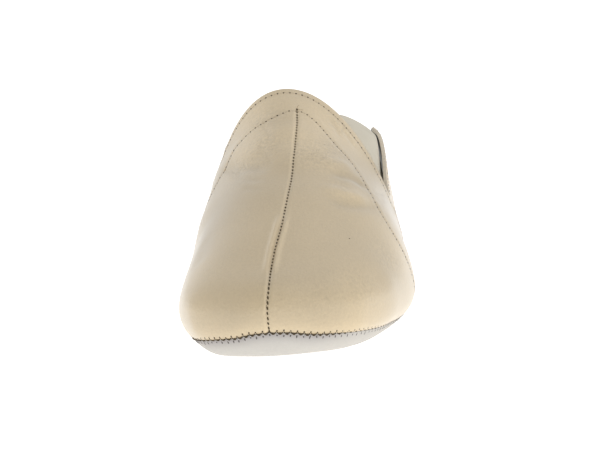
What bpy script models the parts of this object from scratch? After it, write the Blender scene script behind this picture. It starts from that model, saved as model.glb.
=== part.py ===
"""Soft leather house slipper, left foot, standing empty on its sole.

The toe points to -Y, the wearer's left side is +X and the floor is z = 0.
Sizes are in millimetres in the tables and are turned into metres once, when a mesh is made.
"""
import math

import bmesh
import bpy
import numpy as np

# Driving sizes, in millimetres
LENGTH = 236.0            # toe tip to heel back
UPPER_WALL = 1.4          # leather with its lining
LAP_STEP = 0.4            # the quarter lies this much under the vamp at the side seam
LAP_RUN = 0.5             # length of that step along the shoe
SOLE_THICK = 2.0          # sole leather
INSOLE_THICK = 1.5        # sock lining
ELASTIC_THICK = 1.0       # gusset elastic
FIT_GAP = 0.3             # air between pieces that lie on each other
SOLE_TURN = 9.0           # width of the sole's turned-up edge, seen from below
SEAM_V = 0.48             # height fraction of the gusset's lower point on the section
BULGE_V = 0.30            # height fraction of the widest point on the section
TONGUE_END = 114.0        # vamp's rear edge at the ridge, from the toe
GUSSET_FOOT = 107.0       # vamp's rear edge at the gusset's lower point
SIDE_SEAM_FOOT = 113.0    # side seam at the sole
TONGUE_ROUND = 2.4        # exponent of the vamp's rear edge
GUSSET_TOP_V = 0.765      # where the gusset's top edge meets the vamp's rear edge
GUSSET_ARCH = 1.5         # rise of the gusset's top edge between its ends
UNDERLAP = 7.0            # gusset tucked behind the vamp and the quarter

# Cells of the surface grids
VAMP_STEPS, QUARTER_STEPS = 22, 17
BAND_ROWS, VAMP_ROWS, QUARTER_ROWS = 7, 9, 6
TURN_ROWS, SOLE_FILL = 5, 8
FLAP_CELLS, SPAN_CELLS, GUSSET_ROWS = 2, 7, 9

# Lower part of the form, a row per section
BASE_COLUMNS = ("along", "feather_half", "feather_up", "bulge_half", "bulge_up", "shift", "bottom")
BASE = (
    (0.0, 0.0, 13.2, 0.0, 19.3, -6.4, 6.0),
    (1.0, 6.3, 12.6, 7.4, 19.1, -6.0, 5.1),
    (4.0, 12.9, 11.1, 14.9, 19.0, -5.6, 4.2),
    (16.0, 27.8, 8.8, 31.0, 19.0, -4.4, 2.5),
    (38.0, 35.0, 6.3, 39.2, 15.6, -2.2, 1.0),
    (68.0, 37.8, 4.4, 42.2, 14.4, 0.0, 0.0),
    (100.0, 34.8, 4.5, 38.8, 16.6, 0.0, 0.0),
    (120.0, 32.6, 5.0, 37.4, 18.5, -0.2, 0.4),
    (150.0, 28.5, 5.2, 32.8, 20.0, -1.0, 0.8),
    (190.0, 27.0, 5.0, 30.3, 22.0, -2.2, 0.0),
    (222.0, 18.0, 5.0, 21.3, 23.0, -2.9, 0.0),
    (236.0, 0.0, 5.5, 0.0, 24.0, -2.9, 1.0),
)
# Vamp over the forefoot and instep
VAMP_COLUMNS = ("along", "ridge_up", "fullness", "lean")
VAMP = (
    (0.0, 21.0, 2.20, 0.0),
    (4.0, 28.6, 2.20, 0.0),
    (16.0, 34.6, 2.08, 0.0),
    (38.0, 46.0, 1.80, 0.0),
    (68.0, 62.0, 1.60, -1.0),
    (100.0, 76.0, 1.68, -3.8),
    (120.0, 88.0, 1.80, -4.4),
)
# Quarter round the heel: half width, lean to the left and inward curl, all at the topline
QUARTER_COLUMNS = ("along", "top_half", "lean", "curl")
QUARTER = (
    (107.0, 33.0, 0.0, 0.0),
    (114.0, 32.2, 0.8, 0.8),
    (124.0, 31.6, 1.4, 3.8),
    (140.0, 30.4, 1.2, 2.0),
    (168.0, 28.2, 0.6, 0.4),
    (200.0, 26.0, 0.0, 0.0),
    (222.0, 18.4, 0.0, 0.0),
    (236.0, 0.0, 0.0, 0.0),
)
# Quarter's front edge, from the gusset's lower point to the rounded corner, then the topline
FRONT_EDGE = ((107.0, 0.0), (110.5, 0.30), (114.8, 0.55), (118.4, 0.77), (121.0, 0.92), (124.2, 1.0))
TOPLINE = ((124.2, 66.0), (127.5, 66.2), (132.0, 63.6), (146.0, 56.4),
           (168.0, 50.5), (200.0, 49.5), (236.0, 52.5))


def monotone(knots, values, at):
    """Smooth curve through the knots that never overshoots them."""
    x, y = np.asarray(knots, float), np.asarray(values, float)
    at = np.asarray(at, float)
    step = np.diff(x)
    rise = np.diff(y) / step
    slope = np.zeros_like(y)
    slope[0], slope[-1] = rise[0], rise[-1]
    for i in range(1, len(y) - 1):
        if rise[i - 1] * rise[i] > 0:
            a, b = 2 * step[i] + step[i - 1], step[i] + 2 * step[i - 1]
            slope[i] = (a + b) / (a / rise[i - 1] + b / rise[i])
    i = np.clip(np.searchsorted(x, at) - 1, 0, len(x) - 2)
    u = (at - x[i]) / step[i]
    return ((1 + 2 * u) * (1 - u) ** 2 * y[i] + u * (1 - u) ** 2 * step[i] * slope[i]
            + u * u * (3 - 2 * u) * y[i + 1] + u * u * (u - 1) * step[i] * slope[i + 1])


def station(along):
    """Angle-like station 0..1, which rounds the toe and the heel in plan."""
    return np.arccos(np.clip(1 - 2 * np.asarray(along, float) / LENGTH, -1, 1)) / math.pi


def column(table, columns, name, along):
    rows = np.asarray(table, float)
    t = np.clip(station(along), station(rows[0, 0]), station(rows[-1, 0]))
    return monotone(station(rows[:, 0]), rows[:, columns.index(name)], t)


def base(name, along):
    return column(BASE, BASE_COLUMNS, name, along)


def smooth(x):
    x = np.clip(x, 0, 1)
    return x * x * (3 - 2 * x)


def rounded_ends(along, up):
    """Shift along the shoe that rounds the toe's lip and the heel's back in side view."""
    middle, foot = base("bulge_up", along), base("feather_up", along)
    below = np.clip((middle - up) / np.maximum(middle - foot, 0.1), 0, 1)
    above = np.clip((up - middle) / 28.0, 0, 1.2)
    heel = smooth((along - 200.0) / 36.0)
    toe = np.clip(1 - along / 30.0, 0, 1) ** 2
    return toe * 2.0 * below ** 2 - heel * (3.0 * below ** 2 + 3.0 * above ** 2)


def lower_arc(along, v, side):
    """Feather edge (v = 0) to the widest point (v = BULGE_V)."""
    a0 = math.radians(26.0)
    a = a0 + (math.pi / 2 - a0) * np.clip(v / BULGE_V, 0, 1)
    half, wide = base("feather_half", along), base("bulge_half", along)
    foot, middle = base("feather_up", along), base("bulge_up", along)
    x = half + (wide - half) * (np.sin(a) - math.sin(a0)) / (1 - math.sin(a0))
    z = foot + (middle - foot) * (math.cos(a0) - np.cos(a)) / math.cos(a0)
    return base("shift", along) + side * x, z


def vamp_point(along, v, side):
    """Outer face of the vamp; v runs from the feather edge (0) to the ridge (1)."""
    along, v = np.broadcast_arrays(np.asarray(along, float), np.asarray(v, float))
    p = math.pi / 2 * np.clip((v - BULGE_V) / (1 - BULGE_V), 0, 1)
    middle = base("bulge_up", along)
    full = column(VAMP, VAMP_COLUMNS, "fullness", along)
    rise = np.maximum(column(VAMP, VAMP_COLUMNS, "ridge_up", along) - middle, 0.2)
    xu = (base("shift", along) + side * base("bulge_half", along) * np.cos(p)
          + column(VAMP, VAMP_COLUMNS, "lean", along) * np.sin(p) ** 2)
    zu = middle + rise * np.sin(p) ** (2 / full)
    xl, zl = lower_arc(along, v, side)
    low = v < BULGE_V
    x, z = np.where(low, xl, xu), np.where(low, zl, zu)
    return np.stack([x, along + rounded_ends(along, z), z], -1)


def quarter_point(along, v, side):
    """Outer face of the quarter up to the gusset's level; v as on the vamp."""
    along, v = np.broadcast_arrays(np.asarray(along, float), np.asarray(v, float))
    point = vamp_point(np.minimum(along, 120.0), v, side)
    middle = base("bulge_up", along)
    up = middle + (quarter_level(along) - middle) * np.clip((v - BULGE_V) / (SEAM_V - BULGE_V), 0, 1)
    high = quarter_wall(along, up, side)
    xl, zl = lower_arc(along, v, side)
    low = v < BULGE_V
    x, z = np.where(low, xl, high[..., 0]), np.where(low, zl, high[..., 2])
    blend = smooth((along - GUSSET_FOOT) / 16.0)
    x = np.where(along < 120.0, point[..., 0] * (1 - blend) + x * blend, x)
    z = np.where(along < 120.0, point[..., 2] * (1 - blend) + z * blend, z)
    return np.stack([x, along + rounded_ends(along, z), z], -1)


def quarter_level(along):
    """Height of the row that starts at the gusset's lower point and runs to the heel."""
    start = vamp_point(GUSSET_FOOT, SEAM_V, 1)[2]
    return start + (34.0 - start) * smooth((np.asarray(along, float) - GUSSET_FOOT) / 60.0)


def quarter_wall(along, up, side, curl=0.0):
    """Outer face of the quarter at a height above its widest point."""
    middle = base("bulge_up", along)
    wide, top = base("bulge_half", along), column(QUARTER, QUARTER_COLUMNS, "top_half", along)
    reach = np.maximum(topline(along), 62.0 - 0.12 * (along - GUSSET_FOOT)) - middle
    draw = smooth(np.clip((up - middle) / reach, 0, 1) ** 0.8)
    over = column(VAMP, VAMP_COLUMNS, "lean", along) * (1 - smooth((along - GUSSET_FOOT) / 10.0))
    half = wide + (top - wide) * draw
    lean = column(QUARTER, QUARTER_COLUMNS, "lean", along) + over * 0.4
    x = base("shift", along) + side * (half - np.minimum(curl, half)) + lean * draw
    return np.stack([x, along + rounded_ends(along, up), up + 0 * x], -1)


def vamp_edge(v):
    """Distance of the vamp's rear edge from the toe; below the gusset it is the side seam."""
    v = np.asarray(v, float)
    up = np.clip((1 - v) / (1 - SEAM_V), 0, 1) ** TONGUE_ROUND
    tongue = TONGUE_END - (TONGUE_END - GUSSET_FOOT) * up
    seam = GUSSET_FOOT + (SIDE_SEAM_FOOT - GUSSET_FOOT) * (1 - v / SEAM_V)
    return np.where(v >= SEAM_V, tongue, seam)


def front_edge(w):
    """Quarter's front edge: along and height at w = 0 (gusset's lower point) .. 1 (corner)."""
    knots = np.asarray(FRONT_EDGE, float)
    foot = float(quarter_level(GUSSET_FOOT + LAP_RUN))
    share = np.linspace(0, 1, len(knots))
    along = monotone(share, knots[:, 0], w) + LAP_RUN * (1 - np.asarray(w, float))
    up = foot + (TOPLINE[0][1] - foot) * monotone(share, knots[:, 1], w)
    return along, up


def topline(along):
    knots = np.asarray(TOPLINE, float)
    return monotone(knots[:, 0], knots[:, 1], np.maximum(along, knots[0, 0]))


def quarter_top_point(start, w, side):
    """Quarter above the gusset's level; start is where the column leaves that level."""
    share = (start - GUSSET_FOOT - LAP_RUN) / (LENGTH - GUSSET_FOOT - LAP_RUN)
    first = TOPLINE[0][0]
    end = first + (LENGTH - first) * share
    front_along, front_up = front_edge(w)
    foot = float(quarter_level(GUSSET_FOOT + LAP_RUN))
    bend = (front_along - GUSSET_FOOT - LAP_RUN) / (first - GUSSET_FOOT - LAP_RUN)
    rise = (front_up - foot) / (TOPLINE[0][1] - foot)
    keep = (1 - share) ** 3
    bend, rise = keep * bend + (1 - keep) * w, keep * rise + (1 - keep) * w
    along = start + (end - start) * bend
    up = quarter_level(start) + (topline(end) - quarter_level(start)) * rise
    curl = column(QUARTER, QUARTER_COLUMNS, "curl", along) * w ** 4
    return quarter_wall(along, up, side, curl)


def cosine_steps(first, last, count):
    """Distances between two places, even in stations, so they crowd at the toe and the heel."""
    a, b = station(first), station(last)
    t = a + (b - a) * np.linspace(0, 1, count + 1)
    return LENGTH * (1 - np.cos(math.pi * t)) / 2


def face_normals(points, faces):
    """Vertex normals of a sheet, weighted by area."""
    normals = np.zeros_like(points)
    for face in faces:
        a, b, c, d = (points[i] for i in (face if len(face) == 4 else (*face, face[-1])))
        n = np.cross(c - a, d - b)
        for i in face:
            normals[i] += n
    return normals / np.maximum(np.linalg.norm(normals, axis=1, keepdims=True), 1e-12)


def shell(outer, inner, faces):
    """Closed solid between two sheets that share one list of faces."""
    count = len(outer)
    edges = {}
    for face in faces:
        for a, b in zip(face, face[1:] + face[:1]):
            edges[(a, b)] = True
    solid = [tuple(face) for face in faces] + [tuple(i + count for i in reversed(face)) for face in faces]
    for a, b in edges:
        if (b, a) not in edges:
            solid.append((b, a, a + count, b + count))
    return np.concatenate([outer, inner]), solid


def upper_sheet():
    """Outer sheet of the upper: points, depth of the lap, faces and the ring of points at the sole."""
    points, lap, index, faces = [], [], {}, []

    def vertex(key, point, depth):
        if key not in index:
            index[key] = len(points)
            points.append(np.asarray(point, float))
            lap.append(depth)
        return index[key]

    def band(side, part, i, b):
        v = SEAM_V * b / BAND_ROWS
        seam = float(vamp_edge(v))
        if part == "vamp":
            along = cosine_steps(0.0, seam, VAMP_STEPS)[i]
            key = ("band", "toe", b) if i == 0 else ("band", side, "v", i, b)
            return vertex(key, vamp_point(along, v, side), 0.0)
        along = cosine_steps(seam + LAP_RUN, LENGTH, QUARTER_STEPS)[i]
        key = ("band", "heel", b) if i == QUARTER_STEPS else ("band", side, "q", i, b)
        return vertex(key, quarter_point(along, v, side), LAP_STEP)

    def vamp(i, k):
        side, rows = (1 if k >= 0 else -1), abs(k)
        if rows == VAMP_ROWS:
            return band(side, "vamp", i, BAND_ROWS)
        v = 1 - (1 - SEAM_V) * rows / VAMP_ROWS
        along = cosine_steps(0.0, float(vamp_edge(v)), VAMP_STEPS)[i]
        key = ("vamp", 0, rows) if i == 0 else ("vamp", i, k)
        return vertex(key, vamp_point(along, v, side), 0.0)

    def quarter(side, j, q):
        if q == 0:
            return band(side, "quarter", j, BAND_ROWS)
        start = cosine_steps(GUSSET_FOOT + LAP_RUN, LENGTH, QUARTER_STEPS)[j]
        key = ("quarter", "heel", q) if j == QUARTER_STEPS else ("quarter", side, j, q)
        return vertex(key, quarter_top_point(start, q / QUARTER_ROWS, side), LAP_STEP)

    ring = ([(1, "vamp", i) for i in range(VAMP_STEPS + 1)]
            + [(1, "quarter", j) for j in range(QUARTER_STEPS + 1)]
            + [(-1, "quarter", j) for j in reversed(range(QUARTER_STEPS))]
            + [(-1, "vamp", i) for i in reversed(range(1, VAMP_STEPS + 1))])
    for here, there in zip(ring, ring[1:] + ring[:1]):
        for b in range(BAND_ROWS):
            faces.append((band(*here, b), band(*there, b), band(*there, b + 1), band(*here, b + 1)))
    for i in range(VAMP_STEPS):
        for k in range(-VAMP_ROWS, VAMP_ROWS):
            faces.append((vamp(i, k), vamp(i, k + 1), vamp(i + 1, k + 1), vamp(i + 1, k)))
    for j in range(QUARTER_STEPS):
        for q in range(QUARTER_ROWS):
            for side in (1, -1):
                face = tuple(quarter(side, a, b) for a, b in ((j, q), (j + 1, q), (j + 1, q + 1), (j, q + 1)))
                faces.append(face if side > 0 else face[::-1])
    foot = [band(*place, 0) for place in ring]
    return np.array(points), np.array(lap)[:, None], faces, foot


def sole_sheet(foot):
    """Outer face of the sole: rings from the turned-up edge inwards, then rows across."""
    count = len(foot)
    ahead, behind = np.roll(foot, -1, 0), np.roll(foot, 1, 0)
    run = (ahead - behind)[:, :2]
    run /= np.linalg.norm(run, axis=1, keepdims=True)
    inward = np.stack([-run[:, 1], run[:, 0]], 1)
    inset = foot[:, :2] + SOLE_TURN * inward
    b1 = math.radians(46.0)
    points, faces = [], []
    floor = base("bottom", inset[:, 1])
    edge = foot - np.concatenate([-inward * 0.6, np.full((count, 1), 0.8)], 1) * FIT_GAP
    for r in range(TURN_ROWS, -1, -1):
        b = b1 * r / TURN_ROWS
        plan = inset + (edge[:, :2] - inset) * (math.sin(b) / math.sin(b1))
        up = floor + (edge[:, 2] - floor) * (1 - math.cos(b)) / (1 - math.cos(b1))
        points += list(np.concatenate([plan, up[:, None]], 1))
    for r in range(TURN_ROWS):
        for c in range(count):
            d = (c + 1) % count
            faces.append((r * count + c, (r + 1) * count + c, (r + 1) * count + d, r * count + d))
    first = TURN_ROWS * count
    half = count // 2
    rows = []
    for c in range(half + 1):
        right, left = c, (count - c) % count
        if right == left or c == half:
            rows.append([first + c] * (SOLE_FILL + 1))
            continue
        row = [first + right]
        for f in range(1, SOLE_FILL):
            share = f / SOLE_FILL
            plan = inset[right] * (1 - share) + inset[left] * share
            row.append(len(points))
            points.append(np.array([plan[0], plan[1], base("bottom", plan[1])]))
        rows.append(row + [first + left])
    for near, far in zip(rows, rows[1:]):
        for f in range(SOLE_FILL):
            face = (near[f], near[f + 1], far[f + 1], far[f])
            face = tuple(dict.fromkeys(face))
            if len(face) > 2:
                faces.append(face)
    return np.array(points), faces, count


def gusset_sheet(side):
    """Outer face of one elastic gusset, tucked behind the vamp and the quarter."""
    levels = np.linspace(-0.16, 1.0, GUSSET_ROWS + 1)
    rows = []
    for b in levels:
        up = max(b, 0.0)
        drop = min(b, 0.0) * 0.35
        v = SEAM_V + (GUSSET_TOP_V - SEAM_V) * up + drop
        edge = float(vamp_edge(v))
        depth = UPPER_WALL + FIT_GAP + LAP_STEP * (1 - float(smooth(up / 0.35)))
        flap = [inside(lambda a, n: vamp_point(a, n, side), edge - UNDERLAP * (1 - i / FLAP_CELLS) - 0.2,
                       v, side, depth)
                for i in range(FLAP_CELLS + 1)]
        back = UPPER_WALL + FIT_GAP + LAP_STEP
        if b >= 0:
            w = 0.985 * up
            start = GUSSET_FOOT + LAP_RUN
            tail = [inside(lambda a, n: quarter_top_point(a, n, side),
                           start + 0.4 + 1.4 * UNDERLAP * i / FLAP_CELLS, w, side, back + (0.2, 0.85, 0.5)[i])
                    for i in range(FLAP_CELLS + 1)]
        else:
            tail = [inside(lambda a, n: quarter_point(a, n, side),
                           edge + LAP_RUN + 0.6 + UNDERLAP * i / FLAP_CELLS, v, side, back + 0.35)
                    for i in range(FLAP_CELLS + 1)]
        start, end = flap[-1], tail[0]
        reach = float(np.linalg.norm(end - start))
        out = (flap[-1] - flap[-2]) / np.linalg.norm(flap[-1] - flap[-2]) * reach * 0.45
        into = (tail[1] - tail[0]) / np.linalg.norm(tail[1] - tail[0]) * reach * 0.75
        span = []
        for i in range(1, SPAN_CELLS):
            u = i / SPAN_CELLS
            arch = np.array([0.0, 0.0, GUSSET_ARCH * up ** 3 * math.sin(math.pi * u)])
            span.append(arch + (1 + 2 * u) * (1 - u) ** 2 * start + u * (1 - u) ** 2 * out
                        + u * u * (3 - 2 * u) * end + u * u * (u - 1) * into)
        rows.append(flap + span + tail)
    width = len(rows[0])
    faces = []
    for r in range(GUSSET_ROWS):
        for c in range(width - 1):
            face = (r * width + c, r * width + c + 1, (r + 1) * width + c + 1, (r + 1) * width + c)
            faces.append(face if side > 0 else face[::-1])
    return np.array([p for row in rows for p in row]), faces


def inside(surface, along, v, side, depth):
    """Point of a surface, moved straight into the shoe."""
    here = surface(along, v)
    da = surface(along + 0.2, v) - surface(along - 0.2, v)
    dv = surface(along, v + 0.004) - surface(along, v - 0.004)
    n = side * np.cross(da, dv)
    return here - depth * n / np.linalg.norm(n)


def make(name, points, faces, colour, roughness):
    """Mesh object in metres, with the toe at -Y and the middle of the length at y = 0."""
    place = (np.asarray(points, float) - np.array([0.0, LENGTH / 2, 0.0])) * 0.001
    mesh = bpy.data.meshes.new(name)
    mesh.from_pydata([tuple(p) for p in place], [], [list(f) for f in faces])
    mesh.validate()
    work = bmesh.new()
    work.from_mesh(mesh)
    bmesh.ops.recalc_face_normals(work, faces=work.faces)
    work.to_mesh(mesh)
    work.free()
    for polygon in mesh.polygons:
        polygon.use_smooth = True
    material = bpy.data.materials.new(name)
    material.use_nodes = True
    shader = material.node_tree.nodes["Principled BSDF"]
    shader.inputs["Base Color"].default_value = (*colour, 1.0)
    shader.inputs["Roughness"].default_value = roughness
    mesh.materials.append(material)
    piece = bpy.data.objects.new(name, mesh)
    bpy.context.scene.collection.objects.link(piece)
    return piece


def build():
    for item in list(bpy.data.objects):
        bpy.data.objects.remove(item, do_unlink=True)

    # Upper: one hollow wall, open at the collar, at the gussets and underneath
    points, lap, faces, foot = upper_sheet()
    normals = face_normals(points, faces)
    outer = points - normals * lap
    make("upper", *shell(outer, outer - normals * UPPER_WALL, faces), (0.53, 0.43, 0.30), 0.45)

    # Sole: leather turned up to meet the upper's lower edge
    bed, bed_faces, count = sole_sheet(outer[foot])
    down = face_normals(bed, bed_faces)
    down[:count] = normals[foot]
    make("sole", *shell(bed, bed - down * SOLE_THICK, bed_faces), (0.68, 0.66, 0.61), 0.55)

    # Insole: sock lining lying in the sole
    ring = 2 * count
    keep = [f for f in bed_faces if min(f) >= ring]
    sock = bed[ring:] - down[ring:] * (SOLE_THICK + FIT_GAP)
    sock_faces = [tuple(i - ring for i in f) for f in keep]
    make("insole", *shell(sock, sock - down[ring:] * INSOLE_THICK, sock_faces), (0.55, 0.53, 0.48), 0.8)

    # Elastic gussets on both sides of the instep
    for side, name in ((1, "gusset_outer_side"), (-1, "gusset_inner_side")):
        skin, skin_faces = gusset_sheet(side)
        inward = face_normals(skin, skin_faces)
        make(name, *shell(skin, skin - inward * ELASTIC_THICK, skin_faces), (0.60, 0.57, 0.49), 0.8)


build()
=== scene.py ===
import math

import bpy
import numpy as np
from bpy.props import FloatProperty, FloatVectorProperty, PointerProperty
from mathutils import Matrix, Vector
from mathutils.bvhtree import BVHTree


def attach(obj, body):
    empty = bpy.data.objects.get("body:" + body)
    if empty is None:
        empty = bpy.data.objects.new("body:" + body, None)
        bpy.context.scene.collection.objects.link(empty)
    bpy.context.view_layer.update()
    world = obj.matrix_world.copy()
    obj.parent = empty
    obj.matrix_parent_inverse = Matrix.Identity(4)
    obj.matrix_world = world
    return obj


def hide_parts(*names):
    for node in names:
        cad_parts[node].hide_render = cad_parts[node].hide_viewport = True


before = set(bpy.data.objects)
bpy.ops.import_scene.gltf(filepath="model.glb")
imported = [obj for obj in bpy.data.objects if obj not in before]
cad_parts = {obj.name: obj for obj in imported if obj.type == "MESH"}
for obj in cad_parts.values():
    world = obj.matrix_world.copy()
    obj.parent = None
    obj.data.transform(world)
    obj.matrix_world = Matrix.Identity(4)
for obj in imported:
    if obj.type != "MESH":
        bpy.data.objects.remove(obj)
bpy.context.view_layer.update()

bl_info = {
    "name": "Leather house slipper",
    "version": (1, 0, 0),
    "blender": (4, 5, 0),
    "location": "View3D > Sidebar > Slipper",
    "description": "Dresses the slipper's frame in leather, lining, elastic and thread",
    "category": "Object",
}

# Form of the slipper in millimetres, the same as in its solids: along counts from the toe tip
LENGTH = 236.0
LAP_STEP, LAP_RUN = 0.4, 0.5
FIT_GAP = 0.3
SOLE_TURN = 9.0
SEAM_V, BULGE_V = 0.48, 0.30
TONGUE_END, GUSSET_FOOT, SIDE_SEAM_FOOT = 114.0, 107.0, 113.0
TONGUE_ROUND = 2.4
GUSSET_TOP_V, GUSSET_ARCH, UNDERLAP = 0.765, 1.5, 7.0
SEAM_ACROSS = 90.0 * (1 - SEAM_V) / (1 - BULGE_V)
# Angles in degrees at which the sole's turned-up edge and the upper's feather edge stand
SOLE_TURN_ANGLE, FEATHER_ANGLE = 46.0, 26.0
# Toe's lip is rounded up to here, the heel's back from here, and by how much
TOE_TO, HEEL_FROM, TOE_LIP, HEEL_ROUND = 30.0, 200.0, 2.0, 3.0
# Where the vamp's form ends, height of the quarter's first row at the heel, and the run in which it gets there
VAMP_END, HEEL_LEVEL, LEVEL_RUN = 120.0, 34.0, 60.0
# Middle of the shoe's length, a place inside the upper, and the way up
ORIGIN = np.array([0.0, LENGTH / 2, 0.0])
INNER_MIDDLE = np.array([0.0, 110.0, 20.0])
UP = np.array([0.0, 0.0, 1.0])

# Title row, then one row for each section
BASE = (
    ("along", "feather_half", "feather_up", "bulge_half", "bulge_up", "shift", "bottom"),
    (0, 0, 13.2, 0, 19.3, -6.4, 6),
    (1, 6.3, 12.6, 7.4, 19.1, -6, 5.1),
    (4, 12.9, 11.1, 14.9, 19, -5.6, 4.2),
    (16, 27.8, 8.8, 31, 19, -4.4, 2.5),
    (38, 35, 6.3, 39.2, 15.6, -2.2, 1),
    (68, 37.8, 4.4, 42.2, 14.4, 0, 0),
    (100, 34.8, 4.5, 38.8, 16.6, 0, 0),
    (120, 32.6, 5, 37.4, 18.5, -0.2, 0.4),
    (150, 28.5, 5.2, 32.8, 20, -1, 0.8),
    (190, 27, 5, 30.3, 22, -2.2, 0),
    (222, 18, 5, 21.3, 23, -2.9, 0),
    (236, 0, 5.5, 0, 24, -2.9, 1),
)
VAMP = (
    ("along", "ridge_up", "fullness", "lean"),
    (0, 21, 2.2, 0),
    (4, 28.6, 2.2, 0),
    (16, 34.6, 2.08, 0),
    (38, 46, 1.8, 0),
    (68, 62, 1.6, -1),
    (100, 76, 1.68, -3.8),
    (120, 88, 1.8, -4.4),
)
QUARTER = (
    ("along", "top_half", "lean", "curl"),
    (107, 33, 0, 0),
    (114, 32.2, 0.8, 0.8),
    (124, 31.6, 1.4, 3.8),
    (140, 30.4, 1.2, 2),
    (168, 28.2, 0.6, 0.4),
    (200, 26, 0, 0),
    (222, 18.4, 0, 0),
    (236, 0, 0, 0),
)
FRONT_EDGE = ((107, 0), (110.5, 0.3), (114.8, 0.55), (118.4, 0.77), (121, 0.92), (124.2, 1))
TOPLINE = ((124.2, 66), (127.5, 66.2), (132, 63.6), (146, 56.4),
           (168, 50.5), (200, 49.5), (236, 52.5))

# Corner of the right quarter curls in further
RIGHT_CURL = 1.35
# Share of the quarter's height in which it takes over from the band below
QUARTER_BLEND = 0.45

# Centre seam: how far it wanders to the left of the middle, and where it ends
SEAM_DRIFT = (
    (0, 0), (4, 0), (12, -0.45), (22, -0.6), (30, -0.2), (37, 0.2), (52, 0.4), (68, 0.65), (78, 1),
    (92, 1.15), (104, 0.8),
)
SEAM_TOP = 102.2
# Loose thread ends above the centre seam: steps up from its end and to the left
SEAM_TACK = (((0, 0), (1.3, 0.1), (2.4, 0.35), (3, 0.9)), ((0, 0.3), (-0.15, 1.2), (0.1, 2.3)))
# Inner stitch row: angle from the ridge and distance from the toe
INNER_ROW_LEFT = (
    (6, 101.6), (12, 100.8), (17, 98.6), (23, 93.8), (27, 90), (31, 87.6), (35, 84.6), (39, 79),
    (43, 72.8), (47, 67.6), (53, 63.6), (62, 62), (73, 62.2), (100, 65), (127, 70),
)
INNER_ROW_RIGHT = (
    (6, 101.6), (3, 100.9), (-1, 99.8), (-7, 98.4), (-14, 97.8), (-22, 97.8), (-29, 97.3), (-35, 95.4),
    (-41, 92.6), (-48, 89.4), (-56, 86), (-66, 83), (-90, 80), (-127, 80),
)

# Tongue's stitch row: distance from the edge at the top, on the right and on the left
TONGUE_INSETS = (2.2, 2, 4)

# Folds and creases of the vamp: half width, height, then (along, angle from the ridge) places
CREASES = (
    (10, -1.3, ((100, -44), (87, -33), (76, -23), (68, -12), (63, 0), (65, 14),
                (68, 24), (70, 32))),
    (9, 0.9, ((80, 2), (92, 4), (104, 5), (114, 5))),
    (11, 1.4, ((66, -61), (80, -58), (93, -55), (104, -52), (114, -48))),
    (2.6, -0.5, ((99, -42), (87, -33), (78, -25), (71, -16), (66, -10))),
    (3.2, 0.4, ((104, -38), (94, -30), (84, -21), (77, -13))),
    (2.6, -0.85, ((65, 17), (68, 24), (70, 29), (72, 34), (73, 39), (72, 43))),
    (3.2, 0.5, ((70, 16), (75, 23), (78, 29), (80, 36))),
    (3.2, 0.75, ((60, 16), (57.5, 23), (58.5, 30), (61.5, 36), (67, 43))),
    (2.8, -0.65, ((53, 17), (51.5, 25), (53.5, 32), (57.5, 38), (64, 44), (72, 48))),
    (1.3, -0.3, ((73, 41), (79, 47), (88, 53), (99, 60))),
    (1.3, -0.28, ((70, 44), (77, 50), (87, 56))),
    (1.3, -0.35, ((100, -46), (90, -38), (80, -31), (71, -24))),
    (1.2, -0.3, ((80, -35), (71, -26), (64, -18), (61, -12))),
    (1.1, -0.25, ((63, -26), (59, -19), (55, -13))),
    (1, -0.25, ((99, -13), (94, -11), (88, -9), (83, -8))),
    (1, -0.24, ((88, -15), (81, -13), (74, -10), (68, -9))),
    (1.2, -0.35, ((106, 24), (103, 28), (98, 30))),
    (1.2, -0.3, ((107, 31), (104, 35), (101, 40))),
    (5, -0.45, ((8, 60), (13, 64), (23, 69), (34, 78))),
    (4, -0.3, ((52, -47), (41, -48), (30, -52))),
)
# Dark speck on the vamp: along and angle from the ridge
SPECK = (35, 37.5)
# Soft swellings beside the centre seam: side, distance from it, half width and height
SEAM_FLANKS = ((-1, 1.7, 1.1, 0.75), (1, 1.2, 0.9, 0.6))
# Crinkled patches: along, angle from the ridge, reach and strength
CRINKLES = (
    (44, 63, 9, 0.7), (106, 31, 7, 1.1), (100, -14, 9, 1), (84, -14, 11, 1), (76, -24, 11, 0.8),
    (16, 72, 12, 0.4), (76, 14, 10, 1.2), (84, 23, 8, 1.1), (90, 55, 10, 0.8), (61, 28, 8, 0.7),
    (4.5, 72, 9, 0.3), (4, -78, 8, 0.2),
)
# Painted light and shade on the leather, paler and darker places: along, angle from the ridge, reach and share
# of its colour
PAINTED_SHADING_SPOTS = (
    (106, -20, 15, 0.21), (88, -20, 11, 0.12), (101, 20, 16, 0.2), (82, 10, 10, 0.17), (97, -3, 7, -0.14),
    (62, -41, 16, -0.13), (46, -42, 9, -0.05), (6, 64, 11, -0.07), (4, -88, 10, -0.13),
    (30, -66, 12, 0.22), (62, -74, 12, 0.14), (58, 64, 11, 0.2), (95, -63, 9, 0.08), (105, 36, 8, 0.09),
    (93, 62, 10, -0.12), (80, 36, 9, -0.05), (70, 22, 8, 0.05), (15, 106, 9, 0.09), (26, 40, 14, -0.02),
)
# Crinkle of the leather elsewhere
PLAIN_CRINKLE = 0.06
# Folds narrower than this get painted light and shade in their colour, by this share for each millimetre
BROAD_FOLD, FOLD_SHADE = 5, 0.14
# Lines pressed in by thread: depth and half width, then height, half width and distance of the banks
SEAM_LINE, ROW_LINE = (0.3, 0.6, 0.10, 0.8, 1.5), (0.16, 0.8, 0.08, 0.9, 1.9)
# Swellings beside the centre seam: first and last place, run in which they fade, depth and width between them
SWELL_FROM, SWELL_TO, SWELL_FADE, SWELL_VALLEY = 8.0, 42.0, 8.0, (0.35, 1.4)
# Painted highlight beside the centre seam: the leather there is paler by this share
SEAM_SHEEN = 0.12
# Painted highlight beside the quarters' front edges, where the leather is paler: share of its colour and reach
EDGE_GLOW = (0.2, 4.5)
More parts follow.
